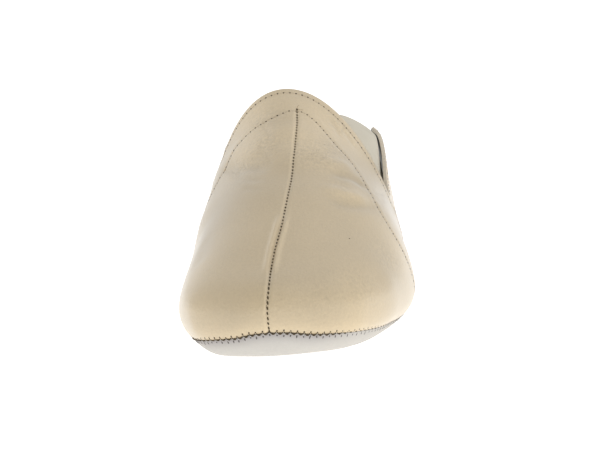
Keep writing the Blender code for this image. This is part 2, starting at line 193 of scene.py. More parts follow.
# Painted light from the floor on the leather above the sole joint at the toe, which is paler: share of its
# colour and reach
FOOT_GLOW = (0.16, 3.5)

# Bright parts of the light tent: direction, and the cosines at which each starts and is full
TENT = (("left_glow", (-1.0, 0.0, 0.25), 0.3, 0.95), ("right_glow", (0.9, -0.4, 0.3), 0.3, 0.95),
        ("rear_glow", (0.0, 1.0, 0.1), 0.2, 0.95), ("top_glow", (0.3, 0.05, 0.95), 0.75, 0.98))
# Camera: aim in metres, picture's size, its optical middle and focal length in pixels, sensor's width
AIM = (-0.0014, -0.038, 0.040)
PICTURE, OPTICAL_MIDDLE, FOCAL, SENSOR = (600, 450), (293.95, 216.22), 2149.6, 36.0

# Thread, and needle holes as beads of painted shade: width, height and how far the ends dip
ROW_STITCH, ROW_HOLE, HOLE_HALF = (0.42, 0.34, 0.24), (0.64, 0.24, 0.04), 0.36
SEAM_DASH, SEAM_PRICK, SEAM_KNOT = (0.68, 0.44, 0.14), (0.3, 0.2, 0.05), (0.62, 0.5, 0.05)
LOOSE_END = (0.16, 0.2, 0.0)

# Grain: how far its cells are moved about in metres, height of its pebbles, and the share of painted light and
# shade that its creases give the upper's colour
GRAIN_WARP, PEBBLE_HEIGHT, CREASE_SHADE = 0.0016, 0.22, 0.8
# Turns yarns in a metre into the wave texture's scale
WAVE_SCALE = 0.314
# Material of each colour: name, pattern and its count in a metre, how much darker its shade goes,
# roughness and its span, strength and depth of the bump, and an attribute that paints shade on it
FINISHES = {
    "nappa": ("Nappa upper", "grain", 1300, 0.11, 0.41, 0.06, 1.0, 0.0006, ("cavity", 0.55)),
    "lining": ("Cotton lining", "weave", 1800, 0.08, 0.85, 0.05, 0.3, 0.0001),
    "raw_edge": ("Cut edge", "grain", 2600, 0.2, 0.8, 0.05, 0.5, 0.0002),
    "sole": ("Sole leather", "grain", 1900, 0.06, 0.6, 0.08, 0.6, 0.0003, ("edge", (0.66, 0.64, 0.67))),
    "sock": ("Sock lining", "weave", 1300, 0.1, 0.9, 0.05, 0.5, 0.0002),
    "elastic": ("Gusset elastic", "weave", 1700, 0.07, 0.75, 0.05, 0.35, 0.00012),
    "thread": ("Beige thread", "weave", 5000, 0.15, 0.6, 0.05, 0.5, 0.0001),
    "dark_thread_and_joint_shade": ("Black-brown thread", "weave", 5000, 0.4, 0.65, 0.05, 0.5, 0.0001),
    "brown_thread": ("Brown thread", "weave", 5000, 0.3, 0.65, 0.05, 0.5, 0.0001),
    "loose_thread": ("Loose thread", "weave", 5000, 0.3, 0.7, 0.05, 0.5, 0.0001),
    # Painted shade in the sole's needle holes
    "sole_hole_shade": ("Needle hole in the sole", "grain", 2000, 0.3, 0.9, 0.02, 0.2, 0.0001),
    # Dark beads of painted shade in needle holes, and the real speck on the vamp
    "hole": ("Needle hole", "grain", 2000, 0.4, 0.9, 0.02, 0.2, 0.0001),
}

# Cells of the visible sheets
VAMP_CELLS, LAP_CELLS, QUARTER_CELLS = 128, 2, 92
ACROSS_CELLS, BAND_CELLS, RISE_CELLS = 74, 26, 24
# Above this height in metres the lining stands proud, and below the other the rim is plain leather
COLLAR_UP, FOOT_UP = 0.06, 0.03
# Sheets that thread is laid on, and the materials once they are made
SKIN, KIT = {}, {}


def monotone(knots, values, at):
    """Smooth curve through the knots that never overshoots them."""
    x, y = np.asarray(knots, float), np.asarray(values, float)
    at = np.asarray(at, float)
    step = np.diff(x)
    rise = np.diff(y) / step
    slope = np.zeros_like(y)
    slope[0], slope[-1] = rise[0], rise[-1]
    for i in range(1, len(y) - 1):
        if rise[i - 1] * rise[i] > 0:
            a, b = 2 * step[i] + step[i - 1], step[i] + 2 * step[i - 1]
            slope[i] = (a + b) / (a / rise[i - 1] + b / rise[i])
    i = np.clip(np.searchsorted(x, at) - 1, 0, len(x) - 2)
    u = (at - x[i]) / step[i]
    return ((1 + 2 * u) * (1 - u) ** 2 * y[i] + u * (1 - u) ** 2 * step[i] * slope[i]
            + u * u * (3 - 2 * u) * y[i + 1] + u * u * (u - 1) * step[i] * slope[i + 1])


def station(along):
    """Angle-like station 0..1, which rounds the toe and the heel in plan."""
    return np.arccos(np.clip(1 - 2 * np.asarray(along, float) / LENGTH, -1, 1)) / math.pi


def column(table, name, along):
    """Column of a table at any place along the shoe."""
    rows = np.asarray(table[1:], float)
    t = np.clip(station(along), station(rows[0, 0]), station(rows[-1, 0]))
    return monotone(station(rows[:, 0]), rows[:, table[0].index(name)], t)


def base(name, along):
    return column(BASE, name, along)


def smooth(x):
    x = np.clip(x, 0, 1)
    return x * x * (3 - 2 * x)


def hill(far, width, at=0.0):
    """Soft hill of height 1 at a distance."""
    return np.exp(-((far - at) / width) ** 2)


def unit(rows):
    return rows / np.maximum(np.linalg.norm(rows, axis=-1, keepdims=True), 1e-9)


def section_place(across):
    """Place on the section, from feather edge (0) to ridge (1), at an angle from the ridge."""
    return 1 - (1 - BULGE_V) * np.abs(across) / 90.0


def rounded_ends(along, up):
    """Shift along the shoe that rounds the toe's lip and the heel's back in side view."""
    middle, foot = base("bulge_up", along), base("feather_up", along)
    below = np.clip((middle - up) / np.maximum(middle - foot, 0.1), 0, 1)
    above = np.clip((up - middle) / 28.0, 0, 1.2)
    heel = smooth((along - HEEL_FROM) / (LENGTH - HEEL_FROM))
    toe = np.clip(1 - along / TOE_TO, 0, 1) ** 2
    return toe * TOE_LIP * below ** 2 - heel * (HEEL_ROUND * below ** 2 + HEEL_ROUND * above ** 2)


def lower_arc(along, v, side):
    """Feather edge (v = 0) to the widest point (v = BULGE_V)."""
    a0 = math.radians(FEATHER_ANGLE)
    a = a0 + (math.pi / 2 - a0) * np.clip(v / BULGE_V, 0, 1)
    half, wide = base("feather_half", along), base("bulge_half", along)
    foot, middle = base("feather_up", along), base("bulge_up", along)
    x = half + (wide - half) * (np.sin(a) - math.sin(a0)) / (1 - math.sin(a0))
    z = foot + (middle - foot) * (math.cos(a0) - np.cos(a)) / math.cos(a0)
    return base("shift", along) + side * x, z


def vamp_point(along, v, side):
    """Outer face of the vamp; v runs from the feather edge (0) to the ridge (1)."""
    along, v = np.broadcast_arrays(np.asarray(along, float), np.asarray(v, float))
    p = math.pi / 2 * np.clip((v - BULGE_V) / (1 - BULGE_V), 0, 1)
    middle = base("bulge_up", along)
    full = column(VAMP, "fullness", along)
    rise = np.maximum(column(VAMP, "ridge_up", along) - middle, 0.2)
    xu = (base("shift", along) + side * base("bulge_half", along) * np.cos(p)
          + column(VAMP, "lean", along) * np.sin(p) ** 2)
    zu = middle + rise * np.sin(p) ** (2 / full)
    xl, zl = lower_arc(along, v, side)
    low = v < BULGE_V
    x, z = np.where(low, xl, xu), np.where(low, zl, zu)
    return np.stack([x, along + rounded_ends(along, z), z], -1)


def on_vamp(along, across):
    """Same face by the angle from its ridge, which counts up to the left."""
    across = np.asarray(across, float)
    return vamp_point(along, section_place(across), np.where(across >= 0, 1.0, -1.0))


def quarter_level(along):
    """Height of the row that starts at the gusset's lower point and runs to the heel."""
    start = vamp_point(GUSSET_FOOT, SEAM_V, 1)[2]
    return start + (HEEL_LEVEL - start) * smooth((np.asarray(along, float) - GUSSET_FOOT) / LEVEL_RUN)


def topline(along):
    knots = np.asarray(TOPLINE, float)
    return monotone(knots[:, 0], knots[:, 1], np.maximum(along, knots[0, 0]))


def quarter_wall(along, up, side, curl=0.0):
    """Outer face of the quarter at a height above its widest point."""
    middle = base("bulge_up", along)
    wide, top = base("bulge_half", along), column(QUARTER, "top_half", along)
    reach = np.maximum(topline(along), 62.0 - 0.12 * (along - GUSSET_FOOT)) - middle
    draw = smooth(np.clip((up - middle) / reach, 0, 1) ** 0.8)
    over = column(VAMP, "lean", along) * (1 - smooth((along - GUSSET_FOOT) / 10.0))
    half = wide + (top - wide) * draw
    lean = column(QUARTER, "lean", along) + over * 0.4
    x = base("shift", along) + side * (half - np.minimum(curl, half)) + lean * draw
    return np.stack([x, along + rounded_ends(along, up), up + 0 * x], -1)


def quarter_point(along, v, side):
    """Outer face of the quarter up to the gusset's level; v as on the vamp."""
    along, v = np.broadcast_arrays(np.asarray(along, float), np.asarray(v, float))
    point = vamp_point(np.minimum(along, VAMP_END), v, side)
    middle = base("bulge_up", along)
    up = middle + (quarter_level(along) - middle) * np.clip((v - BULGE_V) / (SEAM_V - BULGE_V), 0, 1)
    high = quarter_wall(along, up, side)
    xl, zl = lower_arc(along, v, side)
    low = v < BULGE_V
    x, z = np.where(low, xl, high[..., 0]), np.where(low, zl, high[..., 2])
    blend = smooth((along - GUSSET_FOOT) / 16.0)
    x = np.where(along < VAMP_END, point[..., 0] * (1 - blend) + x * blend, x)
    z = np.where(along < VAMP_END, point[..., 2] * (1 - blend) + z * blend, z)
    return np.stack([x, along + rounded_ends(along, z), z], -1)


def vamp_edge(v):
    """Distance of the vamp's rear edge from the toe; below the gusset it is the side seam."""
    v = np.asarray(v, float)
    up = np.clip((1 - v) / (1 - SEAM_V), 0, 1) ** TONGUE_ROUND
    tongue = TONGUE_END - (TONGUE_END - GUSSET_FOOT) * up
    seam = GUSSET_FOOT + (SIDE_SEAM_FOOT - GUSSET_FOOT) * (1 - v / SEAM_V)
    return np.where(v >= SEAM_V, tongue, seam)


def front_edge(w):
    """Quarter's front edge: along and height at w = 0 (gusset's lower point) .. 1 (corner)."""
    knots = np.asarray(FRONT_EDGE, float)
    foot = float(quarter_level(GUSSET_FOOT + LAP_RUN))
    share = np.linspace(0, 1, len(knots))
    along = monotone(share, knots[:, 0], w) + LAP_RUN * (1 - np.asarray(w, float))
    return along, foot + (TOPLINE[0][1] - foot) * monotone(share, knots[:, 1], w)


def quarter_top_point(start, w, side):
    """Quarter above the gusset's level; start is where the column leaves that level."""
    share = (start - GUSSET_FOOT - LAP_RUN) / (LENGTH - GUSSET_FOOT - LAP_RUN)
    first = TOPLINE[0][0]
    end = first + (LENGTH - first) * share
    front_along, front_up = front_edge(w)
    foot = float(quarter_level(GUSSET_FOOT + LAP_RUN))
    bend = (front_along - GUSSET_FOOT - LAP_RUN) / (first - GUSSET_FOOT - LAP_RUN)
    rise = (front_up - foot) / (TOPLINE[0][1] - foot)
    keep = (1 - share) ** 3
    bend, rise = keep * bend + (1 - keep) * w, keep * rise + (1 - keep) * w
    along = start + (end - start) * bend
    up = quarter_level(start) + (topline(end) - quarter_level(start)) * rise
    curl = column(QUARTER, "curl", along) * w ** 4 * (1.0 if side > 0 else RIGHT_CURL)
    return quarter_wall(along, up, side, curl)


def even_stations(first, last, share):
    """Distances between two places, even in stations, so they crowd at the toe and the heel."""
    a, b = station(first), station(last)
    return LENGTH * (1 - np.cos(math.pi * (a + (b - a) * share))) / 2


def seam_across(along):
    """Angle from the ridge at which the centre seam runs."""
    knots = np.asarray(SEAM_DRIFT, float)
    drift = monotone(knots[:, 0], knots[:, 1], np.clip(along, 0, knots[-1, 0]))
    half = np.maximum(base("bulge_half", along), 8.0)
    lean = column(VAMP, "lean", along)
    angle = np.zeros_like(np.asarray(along, float))
    for _ in range(6):
        angle = np.arcsin(np.clip((drift - lean * np.cos(angle) ** 2) / half, -0.9, 0.9))
    return np.degrees(angle) * smooth(np.asarray(along, float) / 3.0)


# Helpers for modelling

def clear_selection():
    if bpy.context.object and bpy.context.object.mode != "OBJECT":
        bpy.ops.object.mode_set(mode="OBJECT")
    bpy.ops.object.select_all(action="DESELECT")


def activate(piece):
    clear_selection()
    piece.select_set(True)
    bpy.context.view_layer.objects.active = piece


def grid_sheet(name, columns, rows):
    """New grid, and the column and row of cells at which every vertex lies."""
    clear_selection()
    bpy.ops.mesh.primitive_grid_add(x_subdivisions=columns, y_subdivisions=rows, size=2.0)
    sheet = bpy.context.object
    sheet.name = name
    place = coordinates(sheet)
    return sheet, np.round((place[:, 0] + 1) / 2 * columns), np.round((place[:, 1] + 1) / 2 * rows)


def coordinates(piece):
    flat = np.empty(len(piece.data.vertices) * 3)
    piece.data.vertices.foreach_get("co", flat)
    return flat.reshape(-1, 3)


def put(piece, place):
    piece.data.vertices.foreach_set("co", np.ascontiguousarray(place, float).ravel())
    piece.data.update()


def in_metres(points):
    return (points - ORIGIN) * 0.001


def shape(sheet, points):
    """Moves a sheet's vertices to points in the form's millimetres."""
    put(sheet, in_metres(points))


def in_mm(piece):
    return coordinates(piece) * 1000 + ORIGIN


def normals(piece):
    flat = np.empty(len(piece.data.vertices) * 3)
    piece.data.vertex_normals.foreach_get("vector", flat)
    return flat.reshape(-1, 3)


def give(piece, name, values):
    """Number on every vertex that a material can read."""
    layer = piece.data.attributes.get(name) or piece.data.attributes.new(name, "FLOAT", "POINT")
    layer.data.foreach_set("value", np.asarray(values, np.float32))


def got(piece, name):
    values = np.empty(len(piece.data.vertices), np.float32)
    piece.data.attributes[name].data.foreach_get("value", values)
    return values


def weld(sheets, name):
    """Joins sheets into one and merges the vertices along their shared borders."""
    clear_selection()
    for sheet in sheets:
        sheet.select_set(True)
    bpy.context.view_layer.objects.active = sheets[0]
    bpy.ops.object.join()
    piece = bpy.context.object
    piece.name = piece.data.name = name
    bpy.ops.object.mode_set(mode="EDIT")
    bpy.ops.mesh.select_all(action="SELECT")
    bpy.ops.mesh.remove_doubles(threshold=2e-6)
    bpy.ops.mesh.normals_make_consistent(inside=False)
    bpy.ops.object.mode_set(mode="OBJECT")
    bpy.ops.object.shade_smooth()
    return piece


def face_towards(piece, axis, way):
    """Turns a sheet's outer face to one side."""
    if normals(piece)[:, axis].sum() * way < 0:
        activate(piece)
        bpy.ops.object.mode_set(mode="EDIT")
        bpy.ops.mesh.select_all(action="SELECT")
        bpy.ops.mesh.flip_normals()
        bpy.ops.object.mode_set(mode="OBJECT")


def faces_of(piece):
    return [tuple(p.vertices) for p in piece.data.polygons]


def keep_skin(piece, name):
    """Remembers a sheet, so that thread can be laid on it."""
    SKIN[name] = BVHTree.FromPolygons([tuple(p) for p in in_mm(piece)], faces_of(piece))


def wall(piece, thickness, rounding, segments, proud=0.0):
    """Gives a sheet its thickness inwards and rounds its rim; the lining may stand proud at the collar."""
    count = len(piece.data.vertices)
    activate(piece)
    bpy.ops.object.modifier_add(type="SOLIDIFY")
    solid = piece.modifiers[-1]
    solid.thickness, solid.offset, solid.use_rim = thickness, -1.0, True
    solid.material_offset, solid.material_offset_rim = 1, 2
    bpy.ops.object.modifier_apply(modifier=solid.name)
    rim = [p for p in piece.data.polygons if p.material_index == 2]
    if proud:
        place = coordinates(piece)
        push = np.zeros_like(place)
        for face in rim:
            for k in face.vertices:
                push[k] += face.normal
        collar = (place[:, 2] > COLLAR_UP) & (place[:, 1] < 0) & (np.abs(push).sum(1) > 0)
        collar &= np.arange(len(place)) >= count
        place[collar] += unit(push[collar]) * proud
        put(piece, place)
    keys = {(a, b) for face in rim for a, b in face.edge_keys if (a < count) == (b < count)}
    piece.data.polygons.foreach_set("select", [False] * len(piece.data.polygons))
    piece.data.vertices.foreach_set("select", [False] * len(piece.data.vertices))
    piece.data.edges.foreach_set("select", [tuple(sorted(e.vertices)) in keys for e in piece.data.edges])
    bpy.ops.object.mode_set(mode="EDIT")
    bpy.context.tool_settings.mesh_select_mode = (False, True, False)
    bpy.ops.mesh.bevel(offset=rounding, segments=segments, affect="EDGES", clamp_overlap=True, material=2)
    bpy.ops.object.mode_set(mode="OBJECT")
    for face in piece.data.polygons:
        if face.material_index == 2 and face.center.z < FOOT_UP:
            face.material_index = 0
    bpy.ops.object.shade_smooth()


def dress(piece, *materials):
    for material in materials:
        piece.data.materials.append(material)


def finish_piece(piece, slot, *nodes):
    """Hides the CAD nodes that a piece stands for and hangs the piece on the root body; slot is not used."""
    if nodes:
        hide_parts(*nodes)
    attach(piece, "root")
    clear_selection()


# Lines on the leather

def even_path(points, pitch):
    """Points at one pitch along a line."""
    points = np.asarray(points, float)
    run = np.concatenate([[0], np.cumsum(np.linalg.norm(np.diff(points, axis=0), axis=1))])
    count = max(int(round(run[-1] / pitch)), 1)
    at = np.linspace(0, run[-1], count + 1)
    return np.stack([np.interp(at, run, points[:, k]) for k in range(3)], 1)


def centre_seam_path():
    toe = vamp_point(0.0, np.linspace(0.0, 1.0, 24), 1)
    along = even_stations(0.02, SEAM_TOP, np.linspace(0, 1, 160))
    return np.concatenate([toe, on_vamp(along, seam_across(along))])


def table_path(rows):
    """Line over the vamp through (angle from the ridge, along) rows."""
    rows = np.asarray(rows, float)
    t = np.linspace(0, 1, len(rows))
    s = np.linspace(0, 1, 240)
    return on_vamp(monotone(t, rows[:, 1], s), monotone(t, rows[:, 0], s))


def tongue_path(inset_top, inset_right, inset_left):
    """Line that follows the vamp's rear edge at a distance, from the right gusset to the left one."""
    across = np.linspace(-SEAM_ACROSS, SEAM_ACROSS, 240)
    inset_side = np.where(across < 0, inset_right, inset_left)
    inset = inset_top + (inset_side - inset_top) * smooth(np.abs(across) / 50.0)
    return on_vamp(vamp_edge(section_place(across)) - inset, across)


def side_seam_path(side, inset):
    v = np.linspace(0.02, SEAM_V, 60)
    return vamp_point(vamp_edge(v) - inset, v, side)


def topline_path(side, inset):
    """Line under the quarter's topline from the front corner to the heel."""
    start = even_stations(GUSSET_FOOT + LAP_RUN, LENGTH, np.linspace(0, 1, 160))
    points = quarter_top_point(start, 1.0, side)
    down = unit(quarter_top_point(start, 0.9, side) - points)
    return (points + down * inset)[2:]


def front_edge_path(side, inset):
    w = np.linspace(0.05, 0.985, 60)
    start = GUSSET_FOOT + LAP_RUN
    points = quarter_top_point(start, w, side)
    into = unit(quarter_top_point(start + 1.5, w, side) - points)
    return points + into * inset


def distance_to(points, path, reach):
    """Distance of every point to a line, and the share along the line of its nearest place."""
    far = np.full(len(points), 1e3)
    share = np.zeros(len(points))
    low, high = path.min(0) - reach, path.max(0) + reach
    near = np.nonzero(np.all((points > low) & (points < high), axis=1))[0]
    for block in np.array_split(near, max(len(near) // 2000, 1)):
        if len(block) == 0:
            continue
        gap = np.linalg.norm(points[block, None, :] - path[None, :, :], axis=2)
        best = gap.argmin(1)
        far[block] = gap[np.arange(len(block)), best]
        share[block] = best / max(len(path) - 1, 1)
    return far, share


# Thread

def bead():
    """Small ball with its poles on X, the start of a stitch."""
    clear_selection()
    bpy.ops.mesh.primitive_uv_sphere_add(segments=6, ring_count=5, radius=0.5)
    ball = bpy.context.object
    place = coordinates(ball)[:, [2, 0, 1]]
    # The primitive lists its faces in any order, so they are sorted
    faces = sorted(faces_of(ball))
    bpy.data.objects.remove(ball, do_unlink=True)
    return place, faces


def on_skin(skin, points):
    """Places on a sheet straight over or under points of its plain form, and the directions that leave it."""
    place, out = [], []
    for point in points:
        point = Vector(point)
        spot, normal, _, _ = SKIN[skin].find_nearest(point)
        if skin + "_form" in SKIN:
            away = SKIN[skin + "_form"].find_nearest(point)[1]
            hit = SKIN[skin].ray_cast(point + away * 3.0, -away, 6.0)
            if hit[0]:
                spot, normal = hit[0], away
        place.append(spot)
        out.append(normal)
    return np.array(place), np.array(out)


def thread_mesh(name, groups):
    """One mesh of many beads, from groups of (starts, ends, ways out, width, height, dip, material)."""
    place, faces = bead()
    points, polygons, which = [], [], []
    for start, end, out, width, height, dip, material in groups:
        run = end - start
        length = np.linalg.norm(run, axis=1)
        x = unit(run)
        y = unit(np.cross(out, x))
        z = np.cross(x, y)
        width, height = (np.broadcast_to(size, len(start))[:, None, None] for size in (width, height))
        run_at, wide_at, high_at = (place[None, :, k, None] for k in range(3))
        rise = high_at * height - dip * (2 * run_at) ** 4
        spots = ((start + end) / 2)[:, None, :] + (run_at * length[:, None, None] * x[:, None, :]
                                                   + wide_at * width * y[:, None, :] + rise * z[:, None, :])
        for k in range(len(start)):
            first = len(points) * len(place)
            points.append(spots[k])
            polygons += [tuple(i + first for i in face) for face in faces]
            which += [material] * len(faces)
    mesh = bpy.data.meshes.new(name)
    mesh.from_pydata([tuple(p) for p in in_metres(np.concatenate(points))], [], polygons)
    mesh.polygons.foreach_set("material_index", which)
    mesh.polygons.foreach_set("use_smooth", [True] * len(polygons))
    mesh.update()
    piece = bpy.data.objects.new(name, mesh)
    bpy.context.scene.collection.objects.link(piece)
    return piece


# Materials

def new_material(name):
    material = bpy.data.materials.new(name)
    material.use_nodes = True
    return material, material.node_tree, material.node_tree.nodes["Principled BSDF"]


def fill(tree, made, inputs):
    """Fills a node's inputs: a socket is linked, anything else is the input's value."""
    for key, value in inputs.items():
        if isinstance(value, bpy.types.NodeSocket):
            tree.links.new(value, made.inputs[key])
        else:
            made.inputs[key].default_value = value


def node(tree, kind, inputs=None, **settings):
    made = tree.nodes.new(kind)
    for key, value in settings.items():
        setattr(made, key, value)
    fill(tree, made, inputs or {})
    return made


def worked(tree, operation, *inputs):
    """Result of a Math node."""
    return node(tree, "ShaderNodeMath", dict(enumerate(inputs)), operation=operation).outputs[0]


def noise(tree, where, scale, detail, roughness=0.5):
    inputs = {"Vector": where, "Scale": scale, "Detail": detail, "Roughness": roughness}
    return node(tree, "ShaderNodeTexNoise", inputs).outputs


def mixed(tree, share, first, second):
    """Colour between two others."""
    made = node(tree, "ShaderNodeMix", {"Factor": share, "A": first, "B": second}, data_type="RGBA")
    return made.outputs["Result"]


def attribute(tree, name):
    return node(tree, "ShaderNodeAttribute", attribute_name=name).outputs["Fac"]


def group(name, inputs, outputs):
    """New shader group; each of its sockets carries one number."""
    tree = bpy.data.node_groups.new(name, "ShaderNodeTree")
    for title, value in inputs.items():
        socket = tree.interface.new_socket(title, in_out="INPUT", socket_type="NodeSocketFloat")
        socket.default_value = value
    for title in outputs:
        tree.interface.new_socket(title, in_out="OUTPUT", socket_type="NodeSocketFloat")
    return tree, tree.nodes.new("NodeGroupInput"), tree.nodes.new("NodeGroupOutput")


def leather_grain():
    """Fine pebbled grain, creases where the leather is crinkled, and slow changes of shade."""
    tree, given, result = group("Leather grain", {"Cells per metre": 1300.0, "Crinkle": 0.0},
                                ("Height", "Shade", "Crease"))
    where = node(tree, "ShaderNodeTexCoord").outputs["Object"]
    moved = node(tree, "ShaderNodeVectorMath", {0: noise(tree, where, 260.0, 2.0)["Color"],
                                                1: [GRAIN_WARP] * 3, 2: where}, operation="MULTIPLY_ADD")
    cells = node(tree, "ShaderNodeTexVoronoi", {"Vector": moved.outputs[0], "Smoothness": 0.6,
                                                "Scale": given.outputs["Cells per metre"]}, feature="SMOOTH_F1")
    fold = worked(tree, "SUBTRACT", noise(tree, where, 760.0, 3.0, 0.65)["Fac"], 0.5)
    crease = worked(tree, "MULTIPLY", fold, given.outputs["Crinkle"])
    pebbles = worked(tree, "MULTIPLY", cells.outputs["Distance"], PEBBLE_HEIGHT)
    mottle = node(tree, "ShaderNodeMix", {"Factor": 0.45, "A": noise(tree, where, 38.0, 3.0)["Fac"],
                                          "B": noise(tree, where, 1100.0, 2.0)["Fac"]}, data_type="FLOAT")
    fill(tree, result, {"Height": worked(tree, "ADD", pebbles, crease), "Crease": crease,
                        "Shade": mottle.outputs["Result"]})
    return tree


def woven():
    """Plain weave of two sets of yarns."""
    tree, given, result = group("Weave", {"Yarns per metre": 1500.0}, ("Height", "Shade"))
    where = node(tree, "ShaderNodeTexCoord").outputs["Object"]
    scale = worked(tree, "MULTIPLY", given.outputs["Yarns per metre"], WAVE_SCALE)
    yarns = [node(tree, "ShaderNodeTexWave", {"Vector": where, "Scale": scale, "Distortion": 0.6},
                  wave_type="BANDS", bands_direction=direction, wave_profile="SIN").outputs["Fac"]
             for direction in ("X", "Y")]
    fill(tree, result, {"Height": worked(tree, "MULTIPLY", *yarns),
                        "Shade": noise(tree, where, 60.0, 4.0)["Fac"]})
    return tree


def surface(title, pattern, per_metre, colour, darker, rough, rough_span, bump, bump_depth, painted_shade=None):
    """Material from a shared group: shade between two colours, roughness and bump, and a place of painted
    shade.
    """
    material, tree, shader = new_material(title)
    grain = node(tree, "ShaderNodeGroup", {0: per_metre}, node_tree=pattern)
    shade = grain.outputs["Shade"]
    spread = node(tree, "ShaderNodeMapRange", {"Value": shade, "From Min": 0.3, "From Max": 0.62})
    final = mixed(tree, spread.outputs[0], (*colour * (1 - darker), 1.0), (*colour, 1.0))
    if painted_shade:
        final = mixed(tree, attribute(tree, painted_shade[0]), final, (*colour * painted_shade[1], 1.0))
    level = node(tree, "ShaderNodeMapRange", {"Value": shade, "To Min": rough - rough_span,
                                              "To Max": rough + rough_span})
    relief = node(tree, "ShaderNodeBump", {"Height": grain.outputs["Height"], "Strength": bump,
                                           "Distance": bump_depth})
    fill(tree, shader, {"Base Color": final, "Roughness": level.outputs[0], "Normal": relief.outputs["Normal"]})
    return material, grain


def coat_and_painted_shading(material, grain):
    """Upper's own finish: coat and sheen, and painted light and shade on crinkled patches and at paler and
    darker places.
    """
    tree = material.node_tree
    shader = tree.nodes["Principled BSDF"]
    fill(tree, grain, {"Crinkle": attribute(tree, "crinkle")})
    # Creases and the marked places get painted light and shade in the colour
    share = worked(tree, "MULTIPLY_ADD", grain.outputs["Crease"], CREASE_SHADE, attribute(tree, "painted_shading"))
    plain = shader.inputs["Base Color"].links[0].from_socket
    colour_with_painted_shading = node(tree, "ShaderNodeVectorMath", {0: plain, "Scale": share}, operation="SCALE")
    fill(tree, shader, {"Base Color": colour_with_painted_shading.outputs[0], "Coat Weight": 1.0, "Coat Roughness": 0.34,
                        "Sheen Weight": 0.22, "Sheen Roughness": 0.4})


def wardrobe(context):
    """All materials, made once."""
    if not KIT:
        patterns = {"grain": leather_grain(), "weave": woven()}
        for name, (title, pattern, per_metre, *values) in FINISHES.items():
            colour = np.array(getattr(context.scene.slipper_colours, name))
            KIT[name], grain = surface(title, patterns[pattern], per_metre, colour, *values)
            if name == "nappa":
                coat_and_painted_shading(KIT[name], grain)
    return KIT


class SlipperSizes(bpy.types.PropertyGroup):
    """Sizes that can be changed without changing the form."""
    upper_wall: FloatProperty(
        name="Upper wall", description="Leather with its lining", default=0.0014, unit="LENGTH")
    sole_thickness: FloatProperty(name="Sole", description="Sole leather", default=0.002, unit="LENGTH")
    insole_thickness: FloatProperty(name="Insole", description="Sock lining", default=0.0015, unit="LENGTH")
    elastic_thickness: FloatProperty(
        name="Elastic", description="Gusset elastic", default=0.001, unit="LENGTH")
    row_pitch: FloatProperty(
        name="Row pitch", description="Stitch length of the rows", default=0.0024, unit="LENGTH")
    seam_pitch: FloatProperty(
        name="Seam pitch", description="Pitch of the centre seam", default=0.00185, unit="LENGTH")
    joint_pitch: FloatProperty(
        name="Joint pitch", description="Pitch of the zigzag at the sole", default=0.0024, unit="LENGTH")


class SlipperColours(bpy.types.PropertyGroup):
    """Colours of the materials."""
    nappa: FloatVectorProperty(
        name="Nappa", description="Upper leather", default=(0.601, 0.479, 0.299), subtype="COLOR")
    lining: FloatVectorProperty(
        name="Lining", description="Inside of the upper", default=(0.55, 0.56, 0.55), subtype="COLOR")
    raw_edge: FloatVectorProperty(
        name="Cut edge", description="Edge of the leather", default=(0.74, 0.67, 0.55), subtype="COLOR")
    sole: FloatVectorProperty(
        name="Sole", description="Sole leather", default=(0.60, 0.575, 0.53), subtype="COLOR")
    sock: FloatVectorProperty(
        name="Sock", description="Insole fabric", default=(0.60, 0.57, 0.52), subtype="COLOR")
    elastic: FloatVectorProperty(
        name="Elastic", description="Gussets", default=(0.67, 0.625, 0.52), subtype="COLOR")
    thread: FloatVectorProperty(
        name="Thread", description="Stitch rows", default=(0.64, 0.53, 0.38), subtype="COLOR")
    # Real thread on the centre seam; on the sole joint its beads also stand for painted shade in the gap and
    # needle holes
    dark_thread_and_joint_shade: FloatVectorProperty(
        name="Dark thread", description="Centre seam and sole joint", default=(0.075, 0.048, 0.016),
        subtype="COLOR")
    brown_thread: FloatVectorProperty(
        name="Brown thread", description="Pricks beside the centre seam", default=(0.16, 0.11, 0.05),
        subtype="COLOR")
    loose_thread: FloatVectorProperty(
        name="Loose thread", description="Thread ends above the centre seam", default=(0.36, 0.26, 0.14),
        subtype="COLOR")
    # Painted shade in the sole's needle holes
    sole_hole_shade: FloatVectorProperty(
        name="Sole hole", description="Needle holes in the sole", default=(0.10, 0.09, 0.08), subtype="COLOR")
    hole: FloatVectorProperty(
        name="Needle hole", description="Shadow in needle holes", default=(0.06, 0.035, 0.02), subtype="COLOR")


class SlipperStage(bpy.types.PropertyGroup):
    """Place of the camera and strength of the lights."""
    azimuth: FloatProperty(
        name="Azimuth", description="Camera's turn round the slipper", default=math.radians(4.58),
        subtype="ANGLE")
    elevation: FloatProperty(
        name="Elevation", description="Camera's height", default=math.radians(9.06), subtype="ANGLE")
    roll: FloatProperty(
        name="Roll", description="Tilt of the picture", default=math.radians(-4.21), subtype="ANGLE")
    distance: FloatProperty(
        name="Distance", description="From the slipper's middle", default=0.8, unit="LENGTH")
    all_glow: FloatProperty(name="Tent", description="Brightness of the tent all round", default=0.42)
    left_glow: FloatProperty(name="Left", description="Extra brightness on the picture's left", default=0.4)
    right_glow: FloatProperty(name="Right", description="Extra brightness on the picture's right", default=0.5)
    rear_glow: FloatProperty(name="Rear", description="Extra brightness of the tent's rear", default=0.33)
    top_glow: FloatProperty(name="Top", description="Extra brightness overhead", default=0.45)
    floor_glow: FloatProperty(name="Floor", description="Light that comes up through the floor", default=0.63)


